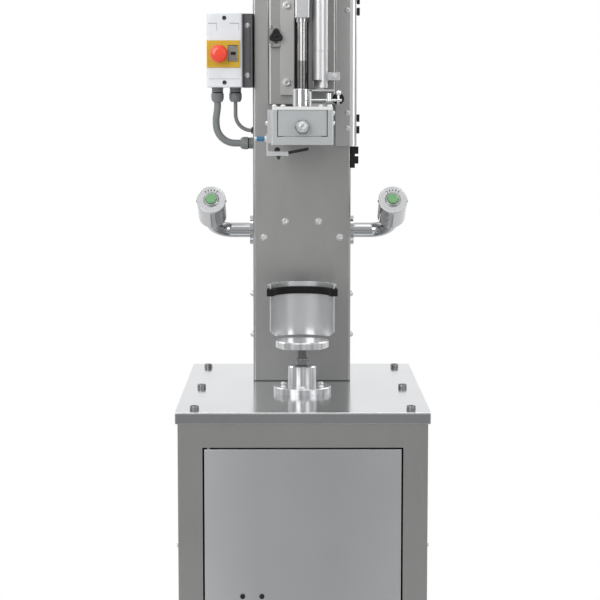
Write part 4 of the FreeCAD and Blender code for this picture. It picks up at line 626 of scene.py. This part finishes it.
# Turned profiles in shares of the radius and the height, each step with its outline where it isn't round.
BUTTON_HEAD = ((1, 0), (1, 0.176), (0.97, 0.22), (0.8772, 0.22), (0.86, 0.33), (0.7998, 0.62),
               (0.6708, 0.84), (0.516, 0.96), (0.46, 1), (0.40, 0.97, HEXAGON), (0.40, 0.45, HEXAGON))
CAP_HEAD = ((1, 0), (1, 0.12), (0.93, 0.14), (0.93, 0.85), (0.85, 1), (0.6, 1),
            (0.5, 0.96, HEXAGON), (0.5, 0.35, HEXAGON))
RECESSED_HEAD = ((0.76, 0), (0.76, 0.7), (0.62, 1), (0.42, 1), (0.35, 0.9, SQUARE), (0.35, 0.3, SQUARE))
GLAND_NECK = ((0.92, 0), (0.92, 0.14), (0.84, 0.15), (0.84, 0.19), (0.92, 0.20), (0.92, 0.30),
              (0.78, 0.31), (0.78, 0.37))
GLAND_SEAL = ((0.80, 0.30), (0.88, 0.32), (0.88, 0.39), (0.80, 0.40))
GLAND_NUT = ((0.93, 0.38, ribbed), (1, 0.42, ribbed), (1, 0.72, ribbed), (0.95, 0.84),
             (0.78, 0.97), (0.7332, 1))
GROMMET = ((1, 0), (1, 0.6), (0.8, 1))

# Turned profiles in millimetres.
SET_SCREW = ((1.9, 0), (1.9, 1.1), (1.5, 1.5), (0.8, 1.5), (0.7, 0.8))
LUG_SCREW = ((1.9, 0), (1.9, 0.8), (1.3, 1.4), (0.7, 1.4), (0.6, 0.8))
LOCK_NUT = ((4.6, 0, HEXAGON), (4.6, 4.6, HEXAGON), (3.8, 5.2), (2.0, 5.2), (2.0, 6.4), (1.6, 6.8))
LOW_SCREW = ((4.2, 0), (4.2, 1.6), (2.4, 2.4), (2.4, 5.5), (1.8, 6.2))

# Knobs. Each step has its share of the radius and its millimetres: a base's from the
# panel's gap, a foot's from where it starts and a face's from the crown.
KNOB_GAP = 0.3 * MM
STUD_OVERLAP = 1 * MM
JAW_KNOB_BASE_TOP = 9
JAW_KNOB_BASE = ((0.94, 0, HEXAGON), (1, 0.6, HEXAGON), (1, 8, HEXAGON),
                 (0.93, JAW_KNOB_BASE_TOP, HEXAGON), (0.5, JAW_KNOB_BASE_TOP))
JAW_KNOB_CAP = 0.8
JAW_KNOB_FOOT = ((0.92, -0.5), (1, 1.5))
JAW_KNOB_FACE = ((1, -8), (0.95, -5), (0.80, -2.2), (0.58, -0.6), (0.40, 0), (0.36, -0.6), (0.2, -1.0))
JAW_STUD_RADIUS = 3 * MM
CLAMP_KNOB_X = -43 * MM
CLAMP_KNOB_Z = 1306.5 * MM
CLAMP_KNOB_FOOT = ((0.88, 0, lobed), (1, 2, lobed))
CLAMP_KNOB_FACE = ((1.0, -4, lobed), (0.93, -1.4, lobed), (0.80, -0.3, lobed), (0.50, -0.6, lobed),
                   (0.42, -1.6, lobed), (0.36, -0.4, lobed), (0.28, 0, lobed))
CLAMP_STUD_RADIUS = 2.2 * MM

# Pods. The lip's steps have millimetres beyond the pod's radius and beyond its face.
POD_TILT = math.radians(28)
POD_RADIUS = 24 * MM
POD_FACE_BORE = 12 * MM
POD_FACE = 0.1 * MM
POD_LIP = ((-0.2, -4), (0.35, -3.8), (0.35, -0.3), (-0.3, 0.25), (-1.4, 0.25), (-1.6, 0.1))
SET_SCREW_INSET = 0.2 * MM
SET_SCREW_DEPTH = 6.5 * MM
STROKE_RADIUS = 17.4 * MM
STROKE_PITCH = math.radians(17)
STROKE_SIZE = Vector((0.75, 1.7, 0.22)) * MM

# A hair's rise or width, for thin lines and for places that are the same.
HAIR = 0.1 * MM

# Switch box. Its lines are placed from the sides and top of its lid, the two corner
# lines in millimetres: start, end and upright.
LEFT_LINE = (3.1, 17.8, 17.4)
RIGHT_LINE = (-21.5, -5.1, -5.8)
LINE_TOP = 16.3 * MM
LINE_WIDTH = 1.2 * MM
LINE_RISE = 0.15 * MM
UPRIGHT_LENGTH = 13 * MM
UPRIGHT_HALF = 0.3 * MM
UPRIGHT_OVERLAP = 1 * MM
WINDOW_RIM = 0.9 * MM
WINDOW_RIM_RISE = 0.5 * MM
STEP_Z = 13.7 * MM
STEP_INSET = 4 * MM
STEP_WIDTH = 0.6 * MM
GROOVE_X = (5.1 * MM, 3.4 * MM)
GROOVE_Z = (11.7 * MM, 20.8 * MM)
GROOVE_RISE = 0.2 * MM

# Clamp lug: its slot's ends and screws, from the clamp knob's axis.
SLOT_X = (-7.4 * MM, -5.9 * MM)
SLOT_Z = (11 * MM, 17 * MM)
LUG_SCREW_X = -9.6 * MM
LUG_SCREW_Z = 14.5 * MM

# Sensor. Each step has its share of the radius and its millimetres, from the rear end or
# from the strip that the sensor sits in.
SENSOR_RADIUS = 4 * MM
SENSOR_REAR = ((0.80, 0), (0.95, 0.6), (0.95, 3.2))
BARREL_START = ((1, 3.2),)
BARREL_END = ((1, -4), (0.95, -3.8), (0.95, -3.2))
SENSOR_NUT = ((1.45, -2.6, HEXAGON), (1.45, 0, HEXAGON))
THREAD_ROOT = 0.90
THREAD_PITCH = 1 * MM
THREAD_START = -3.2 * MM
THREAD_OVERLAP = 0.1 * MM

# Feeler: its block's height and where its nut and screw stand.
FEELER_BLOCK = 7 * MM
LOCK_NUT_X = -40.7 * MM
LOW_SCREW_X = -38.7 * MM

# A grommet is shorter than this, a gland is longer.
GROMMET_LENGTH = 5 * MM


def dress_screws():
    for node in ("casing_screws", "head_screws"):
        shape = Shape()
        for seat in screw_seats(node):
            shape.turned(BUTTON_HEAD, *seat)
        shape.build(node + "_dressed", "base", "screw_steel", "screw", stands_for=(node,))


def dress_black_bolts():
    """Cap screws with washers on the cover, and two small recessed screws on the box."""
    shape = Shape()
    cover_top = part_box("top_cover")[1][2]
    for seat, outward, radius, height in screw_seats("black_bolts"):
        if outward.z > 0:
            top = seat.z + height
            shape.turned(CAP_HEAD, Vector((seat.x, seat.y, cover_top)), outward, radius, top - cover_top)
        else:
            shape.turned(RECESSED_HEAD, seat, outward, radius, height, 1)
    shape.build("black_bolts_dressed", "base", "dark_steel", "bolt", "dark", stands_for=("black_bolts",))


def dress_jaw_knob():
    """A dark hexagonal base with a bright turned cap, on its stud."""
    low, high = corners_of("jaw_knob")
    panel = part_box("jaw_front_panel")[0][1]
    centre = Vector(((low.x + high.x) / 2, panel, (low.z + high.z) / 2))
    place = facing(centre, (0, -1, 0))
    crown = panel - low.y
    radius = (high.x - low.x) / 2
    cap = JAW_KNOB_CAP * radius
    base_top = KNOB_GAP + JAW_KNOB_BASE_TOP * MM
    shape = Shape()
    shape.lathe(steps_from(KNOB_GAP, radius, JAW_KNOB_BASE), place, 1, 72)
    foot = steps_from(base_top, cap, JAW_KNOB_FOOT)
    shape.lathe(foot + steps_from(crown, cap, JAW_KNOB_FACE), place, 0, 48)
    shape.lathe([(JAW_STUD_RADIUS, panel - high.y), (JAW_STUD_RADIUS, KNOB_GAP + STUD_OVERLAP)],
                place, 0, 24)
    shape.build("jaw_knob_dressed", "jaw_knob", "knob_chrome", "pod_face", "knob_base",
                stands_for=("jaw_knob",))


def dress_clamp_knob():
    """Three full lobes with soft edges round a raised hub, on a threaded stud."""
    low, high = corners_of("clamp_knob")
    lug_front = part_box("head_channel")[0][1]
    centre = Vector((CLAMP_KNOB_X, lug_front - KNOB_GAP, CLAMP_KNOB_Z))
    place = facing(centre, (0, -1, 0))
    crown = centre.y - low.y
    reach = high.z - CLAMP_KNOB_Z
    shape = Shape()
    foot = steps_from(0, reach, CLAMP_KNOB_FOOT)
    shape.lathe(foot + steps_from(crown, reach, CLAMP_KNOB_FACE), place, 0, 72)
    shape.lathe([(CLAMP_STUD_RADIUS, centre.y - high.y), (CLAMP_STUD_RADIUS, STUD_OVERLAP)],
                place, 1, 24)
    shape.build("clamp_knob_dressed", "clamp_knob", "black_plastic", "black", "screw",
                stands_for=("clamp_knob",))


def dress_pods():
    """A thin cap lip, five short strokes over the button and two set screws on each pod."""
    axis = Vector((0, -math.cos(POD_TILT), math.sin(POD_TILT)))
    rise = Vector((0, math.sin(POD_TILT), math.cos(POD_TILT)))
    shape = Shape()
    front = max(axis.dot(vert.co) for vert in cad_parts["control_arms"].data.vertices)
    lip = [(POD_RADIUS + out * MM, beyond * MM) for out, beyond in POD_LIP]
    for node in ("start_button_left", "start_button_right"):
        low, high = corners_of(node)
        middle = (low + high) / 2
        face = middle + axis * (front - axis.dot(middle))
        turn = Matrix((Vector((1, 0, 0)), rise, axis)).transposed().to_4x4()
        place = Matrix.Translation(face) @ turn
        shape.lathe(lip + [(POD_FACE_BORE, POD_FACE), (POD_FACE_BORE, 0.0)], place, 0, 72, closed=False)
        for count in range(-2, 3):
            spin = Matrix.Rotation(-STROKE_PITCH * count, 4, "Z")
            half, length, height = STROKE_SIZE
            shape.bar((-half, STROKE_RADIUS - length, 0), (half, STROKE_RADIUS + length, height),
                      place @ spin, 1)
        for side in (-1, 1):
            across = Vector((side * (POD_RADIUS - SET_SCREW_INSET), 0, 0))
            seat = face + across - axis * SET_SCREW_DEPTH
            shape.lathe(in_mm(SET_SCREW), facing(seat, (side, 0, 0)), 1, 18)
    shape.build("pod_caps", "base", "polished_stainless", "pod_face", "dark")


def dress_enclosure():
    """Moulded lines of the box's lid, a raised frame round the switch window and the bracket's groove."""
    shape = Shape()
    low, high = corners_of("enclosure_cover")
    front = low.y
    line_top = high.z - LINE_TOP
    for side, (start, end, corner) in ((low.x, LEFT_LINE), (high.x, RIGHT_LINE)):
        upright = side + corner * MM
        shape.bar((side + start * MM, front - LINE_RISE, line_top - LINE_WIDTH),
                  (side + end * MM, front, line_top))
        shape.bar((upright - UPRIGHT_HALF, front - HAIR, line_top - UPRIGHT_LENGTH),
                  (upright + UPRIGHT_HALF, front, line_top - UPRIGHT_OVERLAP))
    window_low, window_high = corners_of("window_flap")
    left, right = window_low.x, window_high.x
    bottom, top = window_low.z, window_high.z
    rim = WINDOW_RIM
    rim_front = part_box("label_plate")[0][1] - WINDOW_RIM_RISE
    for x0, x1, z0, z1 in ((left - rim, right + rim, top, top + rim),
                           (left - rim, right + rim, bottom - rim, bottom),
                           (left - rim, left, bottom, top), (right, right + rim, bottom, top)):
        shape.bar((x0, rim_front, z0), (x1, front, z1), slot=1)
    step = low.z + STEP_Z
    shape.bar((low.x + STEP_INSET, front - HAIR, step), (high.x - STEP_INSET, front, step + STEP_WIDTH))
    bracket_low, bracket_high = corners_of("enclosure_bracket")
    shape.bar((bracket_high.x - GROOVE_X[0], bracket_low.y - GROOVE_RISE, bracket_low.z + GROOVE_Z[0]),
              (bracket_high.x - GROOVE_X[1], bracket_low.y, bracket_high.z - GROOVE_Z[1]), slot=1)
    shape.build("enclosure_trim", "base", "grey_plastic", "line_grey", "window_frame")


def dress_lug():
    """The ends of the clamp lug's slot and its two small screws."""
    shape = Shape()
    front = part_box("head_channel")[0][1]
    left, right = (CLAMP_KNOB_X + place for place in SLOT_X)
    for side in (1, -1):
        bottom, top = sorted(CLAMP_KNOB_Z + side * place for place in SLOT_Z)
        shape.bar((left, front - HAIR, bottom), (right, front, top))
        seat = Vector((CLAMP_KNOB_X + LUG_SCREW_X, front, CLAMP_KNOB_Z + side * LUG_SCREW_Z))
        shape.lathe(in_mm(LUG_SCREW), facing(seat, (0, -1, 0)), 1, 18)
    shape.build("lug_slot_ends", "base", "screw_steel", "dark", "screw")


def gland(shape, seat, outward, radius, length):
    """A threaded collar, a dark seal ring, a ribbed nut and its tapered nose."""
    shape.turned(GLAND_NECK, seat, outward, radius, length, 0, 48)
    shape.turned(GLAND_SEAL, seat, outward, radius, length, 1, 48)
    shape.turned(GLAND_NUT, seat, outward, radius, length, 0, 96)


def dress_glands():
    """Glands under the box and on the column, and the column's grommet."""
    shape = Shape()
    column_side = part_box("column")[0][0]
    box_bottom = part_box("enclosure_base")[0][2]
    for low, high in islands("cable_glands"):
        size = high - low
        centre = (low + high) / 2
        side_seat = Vector((column_side, centre.y, centre.z))
        if abs(high.z - box_bottom) < HAIR:
            gland(shape, Vector((centre.x, centre.y, high.z)), (0, 0, -1), size.x / 2, size.z)
        elif size.x > GROMMET_LENGTH:
            gland(shape, side_seat, (-1, 0, 0), size.z / 2, size.x)
        else:
            shape.turned(GROMMET, side_seat, (-1, 0, 0), size.z / 2, size.x, 1)
    shape.build("cable_glands_dressed", "base", "grey_plastic", "grey", "black",
                stands_for=("cable_glands",))


def dress_sensor():
    """A blue barrel with a bright rear end, a thread and a bright nut against the strip."""
    low, high = corners_of("proximity_sensor")
    centre = Vector((low.x, (low.y + high.y) / 2, (low.z + high.z) / 2))
    place = facing(centre, (1, 0, 0))
    length = high.x - low.x
    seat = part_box("feeler_bracket")[0][0] - low.x
    radius = SENSOR_RADIUS
    root = THREAD_ROOT * radius
    shape = Shape()
    shape.lathe(steps_from(0, radius, SENSOR_REAR), place, 1)
    shape.lathe(steps_from(0, radius, BARREL_START) + steps_from(seat, radius, BARREL_END), place)
    height = seat + THREAD_START
    thread = [(root, height - THREAD_OVERLAP)]
    while height < length - THREAD_PITCH:
        thread += [(root, height), (radius, height + THREAD_PITCH / 2)]
        height += THREAD_PITCH
    thread += [(root, height), (root, length)]
    shape.lathe(thread, place, 1)
    shape.lathe(steps_from(seat, radius, SENSOR_NUT), place, 1)
    shape.build("proximity_sensor_dressed", "base", "blue_sensor", "blue", "screw",
                stands_for=("proximity_sensor",))


def dress_feeler():
    """The dark lock nut on the feeler's block and the small screw under it."""
    shape = Shape()
    low, high = corners_of("feeler_bracket")
    middle = (low.y + high.y) / 2
    nut_seat = Vector((LOCK_NUT_X, middle, low.z + FEELER_BLOCK))
    screw_seat = Vector((LOW_SCREW_X, middle, low.z))
    shape.lathe(in_mm(LOCK_NUT), facing(nut_seat, (0, 0, 1)))
    shape.lathe(in_mm(LOW_SCREW), facing(screw_seat, (0, 0, -1)))
    shape.build("feeler_nut", "base", "dark_steel", "dark")


def make_lamps():
    for name, place, target, size, power in LAMPS:
        data = bpy.data.lights.new(name, "AREA")
        data.shape = "RECTANGLE"
        data.size, data.size_y = size
        data.energy = power
        lamp = put(name, data)
        lamp.location = place
        lamp.rotation_euler = (Vector(target) - Vector(place)).to_track_quat("-Z", "Y").to_euler()


def make_world():
    """White behind the object for camera, gloss and glass rays; a dimmer room behind the camera."""
    world = bpy.data.worlds.new("studio")
    bpy.context.scene.world = world
    world.use_nodes = True
    nodes = Nodes(world.node_tree)
    direction = nodes.add("ShaderNodeTexCoord").outputs["Generated"]
    room = nodes.ramp(nodes.half(nodes.part(direction, "Z")), *ROOM_TONES)
    behind = nodes.ramp(nodes.half(nodes.part(direction, "Y")), *BACK_SHARE)
    path = nodes.add("ShaderNodeLightPath")
    seen = nodes.math("MAXIMUM", path.outputs["Is Camera Ray"], path.outputs["Is Glossy Ray"])
    seen = nodes.math("MAXIMUM", seen, path.outputs["Is Transmission Ray"])
    white = nodes.math("MAXIMUM", behind, path.outputs["Is Camera Ray"])
    shown = nodes.blend(white, room, (1, 1, 1))
    ambient = nodes.add("ShaderNodeBackground", Color=(1, 1, 1, 1), Strength=AMBIENT)
    backdrop = nodes.add("ShaderNodeBackground", {"Color": shown}, Strength=1.0)
    mix = nodes.add("ShaderNodeMixShader", {"Fac": seen, 1: ambient.outputs[0], 2: backdrop.outputs[0]})
    nodes.add("ShaderNodeOutputWorld", {"Surface": mix.outputs[0]})


def make_floor():
    """A pale floor with the machine's shadow on it, fading to white further out."""
    mesh = bpy.data.meshes.new("floor")
    reach = FLOOR_REACH
    mesh.from_pydata([(-reach, -reach, 0), (reach, -reach, 0), (reach, reach, 0), (-reach, reach, 0)],
                     [], [(0, 1, 2, 3)])
    floor = put("floor", mesh)
    nodes = new_material("floor")
    place = nodes.place()
    colour = nodes.spread(nodes.noise(place, 3.0, 4.0), *FLOOR_TONES)
    surface = nodes.add("ShaderNodeBsdfPrincipled", {"Base Color": colour}, Roughness=0.7)
    depth = nodes.math("MULTIPLY", nodes.part(place, "Y"), 0.5)
    behind = nodes.ramp(nodes.half(depth), *FLOOR_GLOW)
    path = nodes.add("ShaderNodeLightPath")
    strength = nodes.math("MAXIMUM", behind, path.outputs["Is Camera Ray"])
    glow = nodes.add("ShaderNodeEmission", {"Strength": strength}, Color=(1, 1, 1, 1))
    distance = nodes.add("ShaderNodeVectorMath", {0: place}, operation="LENGTH").outputs["Value"]
    fade = nodes.ramp(nodes.between(distance, *FLOOR_FADE), (0.0, 0.0), (1.0, 1.0), interpolation="EASE")
    nodes.finish(nodes.add("ShaderNodeMixShader", {
        "Fac": fade, 1: surface.outputs[0], 2: glow.outputs[0]}))
    mesh.materials.append(materials["floor"])


make_camera()
make_world()
make_floor()
make_lamps()
make_materials()
dress_nodes()
dress_screws()
dress_black_bolts()
dress_jaw_knob()
dress_clamp_knob()
dress_pods()
dress_enclosure()
dress_lug()
dress_glands()
dress_sensor()
dress_feeler()

scene = bpy.context.scene
scene.view_settings.view_transform = "Standard"
